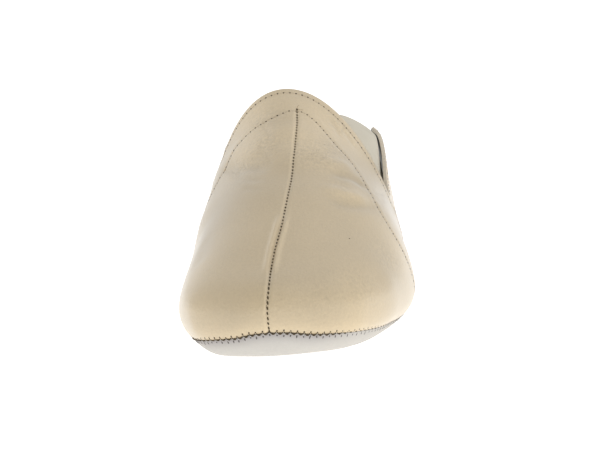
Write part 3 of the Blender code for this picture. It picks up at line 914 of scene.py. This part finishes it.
def vamp_sheet():
    """Vamp from the toe to the tongue's edge, with its middle row on the centre seam."""
    sheet, i, k = grid_sheet("vamp", VAMP_CELLS, 2 * ACROSS_CELLS)
    s = (k - ACROSS_CELLS) / ACROSS_CELLS
    s = np.sign(s) * np.abs(s) ** 1.2
    middle = seam_across(even_stations(0.0, TONGUE_END, i / VAMP_CELLS))
    across = np.where(s < 0, middle + (middle + SEAM_ACROSS) * s, middle + (SEAM_ACROSS - middle) * s)
    across = np.where(np.abs(k - ACROSS_CELLS) == ACROSS_CELLS, np.sign(s) * SEAM_ACROSS, across)
    v = np.where(np.abs(s) == 1, SEAM_V, section_place(across))
    along = even_stations(0.0, vamp_edge(v), i / VAMP_CELLS)
    shape(sheet, vamp_point(along, v, np.where(across >= 0, 1.0, -1.0)))
    give(sheet, "lap", np.zeros(len(i)))
    return sheet


def band_sheet(side):
    """Lower band of one side from the toe to the heel, with the vamp's lap over the quarter."""
    sheet, i, b = grid_sheet("band", VAMP_CELLS + LAP_CELLS + QUARTER_CELLS, BAND_CELLS)
    v = SEAM_V * b / BAND_CELLS
    seam = vamp_edge(v)
    front = even_stations(0.0, seam, np.minimum(i, VAMP_CELLS) / VAMP_CELLS)
    behind = np.clip(i - VAMP_CELLS - LAP_CELLS, 0, None) / QUARTER_CELLS
    rear = even_stations(seam + LAP_RUN, LENGTH, behind)
    points = np.where((i <= VAMP_CELLS)[:, None], vamp_point(front, v, side), quarter_point(rear, v, side))
    step = np.clip((i - VAMP_CELLS) / LAP_CELLS, 0, 1)
    share = step[:, None]
    between = (1 - share) * vamp_point(seam, v, side) + share * quarter_point(seam + LAP_RUN, v, side)
    lap = (i > VAMP_CELLS) & (i < VAMP_CELLS + LAP_CELLS)
    shape(sheet, np.where(lap[:, None], between, points))
    give(sheet, "lap", smooth(step))
    return sheet


def quarter_sheet(side):
    """Quarter above the gusset's foot on one side, eased into the band below it."""
    sheet, j, q = grid_sheet("quarter", QUARTER_CELLS, RISE_CELLS)
    start = even_stations(GUSSET_FOOT + LAP_RUN, LENGTH, j / QUARTER_CELLS)
    step = quarter_point(start, SEAM_V, side) - quarter_top_point(start, 0.0, side)
    fade = 1 - smooth(q / RISE_CELLS / QUARTER_BLEND)
    shape(sheet, quarter_top_point(start, q / RISE_CELLS, side) + step * fade[:, None])
    give(sheet, "lap", np.ones(len(j)))
    return sheet


def vamp_rows():
    """Lines of the stitch rows on the vamp."""
    return [table_path(INNER_ROW_LEFT), table_path(INNER_ROW_RIGHT), tongue_path(*TONGUE_INSETS)]


def patch(place, along, across, reach):
    """Share that every vertex has in a soft round place of the vamp."""
    return hill(np.linalg.norm(place - on_vamp(along, across), axis=1), reach)


def pressed(far, depth, width, bank, bank_width, bank_at):
    """Lift of leather that thread has pulled in along a line, with low banks beside it."""
    return bank * hill(far, bank_width, bank_at) - depth * hill(far, width)


def press_leather(upper):
    """Presses lap, seam, folds and stitch rows into the upper, and gives it what its material reads: painted
    groove shade, crinkle, and painted light and shade.
    """
    place, out, lap = in_mm(upper), normals(upper), got(upper, "lap")
    lift = -LAP_STEP * lap
    painted_shading = np.ones(len(place))

    # Centre seam with its soft swellings
    seam = even_path(centre_seam_path(), 0.5)
    far, share = distance_to(place, seam, 14.0)
    aside = place[:, 0] - seam[np.round(share * (len(seam) - 1)).astype(int), 0]
    taper = smooth((1 - share) / 0.02)
    lift += taper * pressed(far, *SEAM_LINE)
    # Painted shade in the centre seam's groove
    cavity = taper * 0.10 * hill(far, 0.45)
    along = place[:, 1]
    swell = smooth((along - SWELL_FROM) / SWELL_FADE) * smooth((SWELL_TO - along) / SWELL_FADE)
    lift -= SWELL_VALLEY[0] * swell * hill(far, SWELL_VALLEY[1])
    # The swellings and the seam's left side get a painted highlight
    for side, offset, width, height in SEAM_FLANKS:
        flank = swell * (side * aside > 0)
        lift += height * flank * hill(far, width, offset)
        painted_shading += SEAM_SHEEN * flank * np.exp(-((far - offset - 0.7 * width) / 0.9) ** 2)
    painted_shading += SEAM_SHEEN * taper * (aside < 0) * hill(far, 0.4, 0.95)

    # Folds, crinkles and stitch rows
    for width, height, spots in CREASES:
        spots = np.asarray(spots, float)
        t, fine = np.linspace(0, 1, len(spots)), np.linspace(0, 1, 80)
        path = on_vamp(monotone(t, spots[:, 0], fine), monotone(t, spots[:, 1], fine))
        far, share = distance_to(place, path, 3 * width)
        fold = height * hill(far, width) * smooth(share / 0.3) * smooth((1 - share) / 0.3)
        lift += fold
        # Narrow folds get painted light on their ridges and painted shade in their troughs
        if width < BROAD_FOLD:
            painted_shading += fold * FOLD_SHADE
    crinkle = np.full(len(place), PLAIN_CRINKLE)
    for along, across, reach, strength in CRINKLES:
        crinkle = np.maximum(crinkle, strength * patch(place, along, across, reach))
    for path in vamp_rows():
        far, _ = distance_to(place, even_path(path, 0.6), 6.0)
        lift += pressed(far, *ROW_LINE)
        # Painted shade in the stitch rows' grooves
        cavity = np.maximum(cavity, 0.07 * hill(far, 0.6))
    place = place + out * lift[:, None]
    shape(upper, place)

    # Painted light and shade
    for along, across, reach, amount in PAINTED_SHADING_SPOTS:
        painted_shading += amount * patch(place, along, across, reach)
    # Painted light from the floor on the leather above the sole joint at the toe
    far, _ = distance_to(place, even_path(foot_ring(True), 1.0), 12.0)
    painted_shading += FOOT_GLOW[0] * hill(far, FOOT_GLOW[1]) * smooth((70.0 - place[:, 1]) / 40.0)
    # Painted highlight on the quarters beside their front edges
    for side in (1, -1):
        far, share = distance_to(place, even_path(front_edge_path(side, 0.5), 1.0), 14.0)
        painted_shading += EDGE_GLOW[0] * hill(far, EDGE_GLOW[1]) * smooth(share / 0.4) * lap
    for name, values in (("cavity", cavity), ("crinkle", crinkle), ("painted_shading", painted_shading)):
        give(upper, name, values)


class SLIPPER_OT_upper(bpy.types.Operator):
    """Leather upper with its lining, open at the collar and underneath"""
    bl_idname = "slipper.upper"
    bl_label = "Upper"

    def execute(self, context):
        sheets = [vamp_sheet()]
        for side in (1, -1):
            sheets += [band_sheet(side), quarter_sheet(side)]
        upper = weld(sheets, "upper_leather")
        if np.sum((in_mm(upper) - INNER_MIDDLE) * normals(upper)) < 0:
            raise RuntimeError("the upper's faces point inwards")
        keep_skin(upper, "upper_form")
        press_leather(upper)
        keep_skin(upper, "upper")
        kit = wardrobe(context)
        dress(upper, kit["nappa"], kit["lining"], kit["raw_edge"])
        wall(upper, context.scene.slipper_sizes.upper_wall, 0.00065, 3, proud=0.0007)
        finish_piece(upper, "upper_leather", "upper")
        return {"FINISHED"}


def foot_ring(lapped):
    """Upper's lower edge, from the toe round the left side to the heel and back."""
    front = even_stations(0.0, vamp_edge(0.0), np.linspace(0, 1, VAMP_CELLS + 1))
    rear = even_stations(vamp_edge(0.0) + LAP_RUN, LENGTH, np.linspace(0, 1, QUARTER_CELLS + 1))
    parts = []
    for side in (1, -1):
        points = np.concatenate([vamp_point(front, 0.0, side), quarter_point(rear, 0.0, side)])
        lap = np.concatenate([np.zeros(len(front)), np.full(len(rear), LAP_STEP if lapped else 0.0)])
        tangent = unit(np.gradient(points, axis=0))
        out = unit(np.stack([tangent[:, 1], -tangent[:, 0], 0 * lap], 1)) * side
        parts.append(points - out * lap[:, None])
    return np.concatenate([parts[0], parts[1][::-1][1:-1]])


def bed_sheets(first_turn, rows, fill_rows):
    """Grids for a sole-shaped sheet: the turned-up edge and the flat bed."""
    smooth_ring = foot_ring(False)
    ring = foot_ring(True)
    count = len(ring)
    run = unit((np.roll(smooth_ring, -2, 0) - np.roll(smooth_ring, 2, 0))[:, :2])
    inward = np.stack([-run[:, 1], run[:, 0]], 1)
    inset = smooth_ring[:, :2] + SOLE_TURN * inward
    floor = base("bottom", inset[:, 1])
    edge = ring - np.concatenate([-inward * 0.6, np.full((count, 1), 0.3)], 1) * FIT_GAP
    turn = math.radians(SOLE_TURN_ANGLE)
    sheet, i, r = grid_sheet("turn", count, rows)
    at = (i % count).astype(int)
    b = turn * first_turn * (1 - r / rows)
    plan = inset[at] + (edge[at, :2] - inset[at]) * (np.sin(b) / math.sin(turn))[:, None]
    up = floor[at] + (edge[at, 2] - floor[at]) * (1 - np.cos(b)) / (1 - math.cos(turn))
    shape(sheet, np.concatenate([plan, up[:, None]], 1))
    flat, c, f = grid_sheet("bed", count // 2, fill_rows)
    right, left = c.astype(int), ((count - c) % count).astype(int)
    share = (f / fill_rows)[:, None]
    plan = inset[right] * (1 - share) + inset[left] * share
    shape(flat, np.concatenate([plan, base("bottom", plan[:, 1])[:, None]], 1))
    return [sheet, flat]


class SLIPPER_OT_sole(bpy.types.Operator):
    """Sole leather turned up to meet the upper"""
    bl_idname = "slipper.sole"
    bl_label = "Sole"

    def execute(self, context):
        sole = weld(bed_sheets(1.0, 12, 36), "sole_leather")
        face_towards(sole, 2, -1)
        keep_skin(sole, "sole")
        far, _ = distance_to(in_mm(sole), even_path(foot_ring(True), 0.8), 9.0)
        # Painted shade along the joint, under the upper; it fades to the left
        unshaded = 0.8 * smooth((in_mm(sole)[:, 0] - 8.0) / 16.0)
        give(sole, "edge", hill(far, 3.2) * (1 - unshaded))
        dress(sole, *[wardrobe(context)["sole"]] * 3)
        wall(sole, context.scene.slipper_sizes.sole_thickness, 0.0004, 2)
        finish_piece(sole, "sole_leather", "sole")
        return {"FINISHED"}


class SLIPPER_OT_insole(bpy.types.Operator):
    """Sock lining lying in the sole"""
    bl_idname = "slipper.insole"
    bl_label = "Insole"

    def execute(self, context):
        sizes = context.scene.slipper_sizes
        sock = weld(bed_sheets(0.6, 6, 30), "sock_lining")
        face_towards(sock, 2, -1)
        rise = sizes.sole_thickness * 1000 + FIT_GAP
        shape(sock, in_mm(sock) - normals(sock) * rise)
        dress(sock, *[wardrobe(context)["sock"]] * 3)
        wall(sock, sizes.insole_thickness, 0.0003, 2)
        finish_piece(sock, "sock_lining", "insole")
        return {"FINISHED"}


def inside(surface_at, along, v, side, depth):
    """Point of a surface, moved straight into the shoe."""
    here = surface_at(along, v, side)
    da = surface_at(along + 0.2, v, side) - surface_at(along - 0.2, v, side)
    dv = surface_at(along, v + 0.004, side) - surface_at(along, v - 0.004, side)
    return here - depth * unit(side * np.cross(da, dv))


def gusset_rows(side, wall_mm, flaps, spans, levels):
    """Elastic gusset, row by row: flap behind the vamp, open span, tail behind the quarter."""
    rows = []
    back = wall_mm + FIT_GAP + LAP_STEP
    for b in np.linspace(-0.16, 1.0, levels + 1):
        up, drop = max(b, 0.0), min(b, 0.0) * 0.35
        v = SEAM_V + (GUSSET_TOP_V - SEAM_V) * up + drop
        edge = float(vamp_edge(v))
        share = np.linspace(0, 1, flaps + 1)
        depth = wall_mm + FIT_GAP + LAP_STEP * (1 - float(smooth(up / 0.35)))
        flap = inside(vamp_point, edge - UNDERLAP * (1 - share) - 0.2, v, side, depth)
        if b >= 0:
            at_edge = 0.2 + 0.75 * math.sin(math.pi * up ** 0.5) ** 2
            deep = back + np.interp(share, (0.0, 0.5, 1.0), (at_edge, 0.95, 0.5))[:, None]
            behind = GUSSET_FOOT + LAP_RUN + 0.4 + 1.4 * UNDERLAP * share
            tail = inside(quarter_top_point, behind, 0.985 * up, side, deep)
        else:
            tail = inside(quarter_point, edge + LAP_RUN + 0.6 + UNDERLAP * share, v, side, back + 0.35)
        start, end = flap[-1], tail[0]
        reach = float(np.linalg.norm(end - start))
        out, into = unit(flap[-1] - flap[-2]) * reach * 0.45, unit(tail[1] - tail[0]) * reach * 0.75
        u = (np.arange(1, spans) / spans)[:, None]
        arch = UP * GUSSET_ARCH * up ** 3 * np.sin(math.pi * u)
        span = (arch + (1 + 2 * u) * (1 - u) ** 2 * start + u * (1 - u) ** 2 * out
                + u * u * (3 - 2 * u) * end + u * u * (u - 1) * into)
        rows.append(np.concatenate([flap, span, tail]))
    return np.array(rows)


class SLIPPER_OT_gussets(bpy.types.Operator):
    """Elastic gussets on both sides of the instep"""
    bl_idname = "slipper.gussets"
    bl_label = "Gussets"

    def execute(self, context):
        sizes = context.scene.slipper_sizes
        for side, name in ((1, "gusset_outer_side"), (-1, "gusset_inner_side")):
            rows = gusset_rows(side, sizes.upper_wall * 1000, 5, 22, 30)
            sheet, i, k = grid_sheet(name, rows.shape[1] - 1, rows.shape[0] - 1)
            shape(sheet, rows[k.astype(int), i.astype(int)])
            gusset = weld([sheet], name + "_elastic")
            face_towards(gusset, 0, side)
            dress(gusset, *[wardrobe(context)["elastic"]] * 3)
            wall(gusset, sizes.elastic_thickness, 0.00035, 2)
            finish_piece(gusset, "gusset_elastic", name)
        return {"FINISHED"}


def row_groups(path, pitch):
    """Stitches of one row with a bead of painted shade for the needle hole at each end."""
    knots, out = on_skin("upper", even_path(path, pitch))
    run = unit(np.diff(knots, axis=0))
    start, end = knots[:-1] + run * 0.42, knots[1:] - run * 0.42
    mid = (out[:-1] + out[1:]) / 2
    lift = mid * 0.03
    at = knots[1:-1] + out[1:-1] * 0.05
    tangent = unit(knots[2:] - knots[:-2])
    return [(start + lift, end + lift, mid, *ROW_STITCH, 0),
            (at - tangent * HOLE_HALF, at + tangent * HOLE_HALF, out[1:-1], *ROW_HOLE, 1)]


class SLIPPER_OT_stitch_rows(bpy.types.Operator):
    """Stitch rows round the tongue, along the side seams and under the topline"""
    bl_idname = "slipper.stitch_rows"
    bl_label = "Stitch rows"

    def execute(self, context):
        pitch = context.scene.slipper_sizes.row_pitch * 1000
        paths = vamp_rows()
        for side in (1, -1):
            paths += [side_seam_path(side, 1.6), topline_path(side, 1.8), front_edge_path(side, 1.8)]
        groups = [stitches for path in paths for stitches in row_groups(path, pitch)]
        speck, out = on_skin("upper", [on_vamp(*SPECK)])
        groups.append((speck - [0.28, 0.0, 0.0], speck + [0.28, 0.0, 0.0], out, 0.5, 0.2, 0.0, 1))
        piece = thread_mesh("stitch_rows", groups)
        kit = wardrobe(context)
        dress(piece, kit["thread"], kit["hole"])
        finish_piece(piece, "upper_leather")
        return {"FINISHED"}


class SLIPPER_OT_centre_seam(bpy.types.Operator):
    """Zigzag thread over the seam along the middle of the vamp"""
    bl_idname = "slipper.centre_seam"
    bl_label = "Centre seam"

    def execute(self, context):
        pitch = context.scene.slipper_sizes.seam_pitch * 1000
        path = even_path(centre_seam_path(), pitch)
        knots, out = on_skin("upper", path)
        tangent = unit(np.gradient(knots, axis=0))
        aside = unit(np.cross(out, tangent))
        uneven = np.random.default_rng(7).uniform(-1, 1, (len(knots), 3))
        toe = 1 - smooth((path[:, 1:2] - 14.0) / 10.0)
        half = pitch * (0.27 + 0.10 * toe + 0.04 * uneven[:, :1])
        slant = aside * (0.16 + 0.08 * uneven[:, 1:2])
        lift = out * 0.06
        middle = knots[:-1] + tangent[:-1] * pitch * 0.5
        prick = middle + aside[:-1] * (0.65 + 0.15 * uneven[:-1, 2:])
        last, ahead = knots[-1:], tangent[-1:]
        dash = knots - tangent * half - slant + lift, knots + tangent * half + slant + lift
        groups = [(*dash, out, *SEAM_DASH, 0),
                  (middle + aside[:-1] * 0.2, prick, out[:-1], *SEAM_PRICK, 1),
                  (last - ahead * 0.5, last + ahead * 0.35, out[-1:], *SEAM_KNOT, 0)]
        for bends in SEAM_TACK:
            spots = np.array([knots[-1] + tangent[-1] * up - aside[-1] * left for up, left in bends])
            spots, lean = on_skin("upper", spots)
            groups.append((spots[:-1], spots[1:], lean[:-1], *LOOSE_END, 2))
        piece = thread_mesh("centre_seam_thread", groups)
        kit = wardrobe(context)
        dress(piece, kit["dark_thread_and_joint_shade"], kit["brown_thread"], kit["loose_thread"])
        finish_piece(piece, "upper_leather")
        return {"FINISHED"}


class SLIPPER_OT_sole_joint(bpy.types.Operator):
    """Zigzag thread that butts the sole to the upper, with painted shade in the joint's gap and needle holes"""
    bl_idname = "slipper.sole_joint"
    bl_label = "Sole joint"

    def execute(self, context):
        pitch = context.scene.slipper_sizes.joint_pitch * 1000
        ring = foot_ring(True)
        path = even_path(np.concatenate([ring, ring[:1]]), pitch)[:-1]
        count, x = len(path), path[:, 0]
        after = np.roll(path, -1, 0)
        tangent = unit(after - np.roll(path, 1, 0))
        outward = unit(np.stack([tangent[:, 1], -tangent[:, 0], np.zeros(count)], 1))
        uneven = np.random.default_rng(11).uniform(-1, 1, (count, 8))

        def towards_next(share):
            return path + (after - path) * np.broadcast_to(share, count)[:, None]

        def on_upper(share, up):
            """Place on the upper: share of the way to the next stitch, and height over the joint."""
            up = np.broadcast_to(up, count)[:, None]
            return on_skin("upper", towards_next(share) + UP * up + outward * (0.42 * up))

        def on_sole(share, down):
            down = np.broadcast_to(down, count)[:, None]
            return on_skin("sole", towards_next(share) - UP * down - outward * 0.4 * down)

        # Dark thread and painted shade of the joint are boldest at the toe's middle, and on the left side the
        # slanting runs fade away
        bold = 1.0 - 0.45 * smooth((x - 6.0) / 16.0) - 0.25 * smooth((x - 22.0) / 8.0)
        bold *= 1.0 - 0.45 * smooth((-x - 24.0) / 8.0)
        thick = np.maximum(bold, 0.75)
        short = 1.0 - smooth((x - 12.0) / 10.0)
        slanting = 0.4 * bold * short, 0.36 * bold * short
        lean = 0.08 + 0.10 * uneven[:, 0]
        sag = 0.05 + 0.10 * np.abs(uneven[:, 1])
        a, _ = on_upper(0.06, 0.42)
        b, out = on_upper(0.30, sag)
        c, _ = on_upper(0.70, sag)
        d, _ = on_upper(0.94, 0.40)
        top, top_out = on_upper(lean, 1.15 + 0.3 * uneven[:, 2])
        hole, hole_out = on_sole(lean * 0.5 + 0.06 * uneven[:, 3], 0.75 + 0.2 * uneven[:, 4])
        foot, _ = on_sole(lean * 0.5 + 0.08 * uneven[:, 5], 1.8 + 0.4 * uneven[:, 6])
        rim, _ = on_sole(lean, 0.2)
        sunk = smooth((x + 26.0) / 10.0) * smooth((24.0 - x) / 10.0) * (path[:, 1] < 40.0)
        sunk = (0.25 * short + 0.3 * sunk)[:, None] * UP
        b, c = b - sunk, c - sunk
        reach = tangent * (0.25 * short - 0.15)[:, None]
        # The sagging dark bead is painted shade in the joint's gap; the dark ticks are thread with painted
        # shade in its needle holes; the sole-coloured runs are thread, and the marks below them painted shade
        # in the sole's needle holes
        groups = [(b - reach, c + reach, out, 0.72 * thick, 0.6 * thick, 0.1, 0),
                  (a, b, out, *slanting, 0.0, 0),
                  (c, d, out, *slanting, 0.0, 0),
                  (a - tangent * 0.1, top, top_out, 0.58 * bold, 0.4 * bold, 0.05, 0),
                  (rim + hole_out * 0.05, hole, hole_out, 0.42, 0.3, 0.1, 1),
                  (hole, foot, hole_out, 0.5 * bold, 0.28, 0.02, 2)]
        piece = thread_mesh("sole_joint_thread_and_shade", groups)
        kit = wardrobe(context)
        dress(piece, kit["dark_thread_and_joint_shade"], kit["sole"], kit["sole_hole_shade"])
        finish_piece(piece, "sole_leather")
        return {"FINISHED"}


def light_tent(stage):
    """White world that is brighter on the sides that TENT names."""
    world = bpy.data.worlds.new("Light tent")
    world.use_nodes = True
    tree = world.node_tree
    where = node(tree, "ShaderNodeTexCoord").outputs["Generated"]
    total = stage.all_glow
    for name, direction, start, full in TENT:
        towards = node(tree, "ShaderNodeVectorMath", {0: where, 1: Vector(direction).normalized()},
                       operation="DOT_PRODUCT")
        glow = node(tree, "ShaderNodeMapRange", {"Value": towards.outputs["Value"], "From Min": start,
                    "From Max": full, "To Max": getattr(stage, name)}, interpolation_type="SMOOTHSTEP")
        total = worked(tree, "ADD", glow.outputs[0], total)
    fill(tree, tree.nodes["Background"], {"Strength": total, "Color": (1.0, 1.0, 1.0, 1.0)})
    return world


def photo_camera(stage):
    """Camera at the photograph's angle, turned a little so that its optical middle is the picture's."""
    az, el, roll = stage.azimuth, stage.elevation, stage.roll
    back = Vector((math.sin(az) * math.cos(el), -math.cos(az) * math.cos(el), math.sin(el)))
    right = (-back).cross(Vector((0, 0, 1))).normalized()
    up = right.cross(-back)
    right, up = right * math.cos(roll) + up * math.sin(roll), up * math.cos(roll) - right * math.sin(roll)
    place = Vector(AIM) + back * stage.distance
    off_x, off_y = PICTURE[0] / 2 - OPTICAL_MIDDLE[0], PICTURE[1] / 2 - OPTICAL_MIDDLE[1]
    look = (-back + right * off_x / FOCAL - up * off_y / FOCAL).normalized()
    right = (right - look * right.dot(look)).normalized()
    up = right.cross(look)
    bpy.ops.object.camera_add()
    camera = bpy.context.object
    camera.matrix_world = Matrix(((right.x, up.x, -look.x, place.x), (right.y, up.y, -look.y, place.y),
                                  (right.z, up.z, -look.z, place.z), (0, 0, 0, 1)))
    camera.data.sensor_width = SENSOR
    camera.data.lens = SENSOR * FOCAL / PICTURE[0]
    camera.data.clip_start, camera.data.clip_end = 0.05, 50.0
    return camera


class SLIPPER_OT_stage(bpy.types.Operator):
    """Pale floor, soft light from the sides and the camera"""
    bl_idname = "slipper.stage"
    bl_label = "Stage"

    def execute(self, context):
        scene, stage = context.scene, context.scene.slipper_stage
        clear_selection()
        bpy.ops.mesh.primitive_grid_add(x_subdivisions=8, y_subdivisions=8, size=12.0, location=(0.0, 2.0, 0.0))
        floor = bpy.context.object
        floor.name = "floor"
        bpy.ops.object.transform_apply(location=True)
        material, tree, shader = new_material("Pale floor")
        fill(tree, shader, {"Base Color": (0.92, 0.92, 0.92, 1.0), "Roughness": 0.9, "Specular IOR Level": 0.1,
                            "Emission Color": (1.0, 1.0, 1.0, 1.0), "Emission Strength": stage.floor_glow})
        dress(floor, material)
        scene.world = light_tent(stage)
        scene.camera = photo_camera(stage)
        scene.view_settings.view_transform = "Standard"
        return {"FINISHED"}


class SLIPPER_PT_panel(bpy.types.Panel):
    """Sidebar list of the slipper's pieces"""
    bl_idname = "SLIPPER_PT_panel"
    bl_label = "Slipper"
    bl_space_type = "VIEW_3D"
    bl_region_type = "UI"
    bl_category = "Slipper"

    def draw(self, context):
        scene = context.scene
        for settings in (scene.slipper_sizes, scene.slipper_colours, scene.slipper_stage):
            for name in settings.__annotations__:
                self.layout.prop(settings, name)
        for operator in OPERATORS:
            self.layout.operator(operator.bl_idname)


OPERATORS = (SLIPPER_OT_upper, SLIPPER_OT_sole, SLIPPER_OT_insole, SLIPPER_OT_gussets, SLIPPER_OT_stitch_rows,
             SLIPPER_OT_centre_seam, SLIPPER_OT_sole_joint, SLIPPER_OT_stage)
CLASSES = (SlipperSizes, SlipperColours, SlipperStage) + OPERATORS + (SLIPPER_PT_panel,)


def register():
    for item in CLASSES:
        bpy.utils.register_class(item)
    bpy.types.Scene.slipper_sizes = PointerProperty(type=SlipperSizes)
    bpy.types.Scene.slipper_colours = PointerProperty(type=SlipperColours)
    bpy.types.Scene.slipper_stage = PointerProperty(type=SlipperStage)


def unregister():
    del bpy.types.Scene.slipper_sizes, bpy.types.Scene.slipper_colours, bpy.types.Scene.slipper_stage
    for item in reversed(CLASSES):
        bpy.utils.unregister_class(item)


def main():
    register()
    bpy.ops.slipper.upper()
    bpy.ops.slipper.sole()
    bpy.ops.slipper.insole()
    bpy.ops.slipper.gussets()
    bpy.ops.slipper.stitch_rows()
    bpy.ops.slipper.centre_seam()
    bpy.ops.slipper.sole_joint()
    bpy.ops.slipper.stage()


if __name__ == "__main__":
    main()
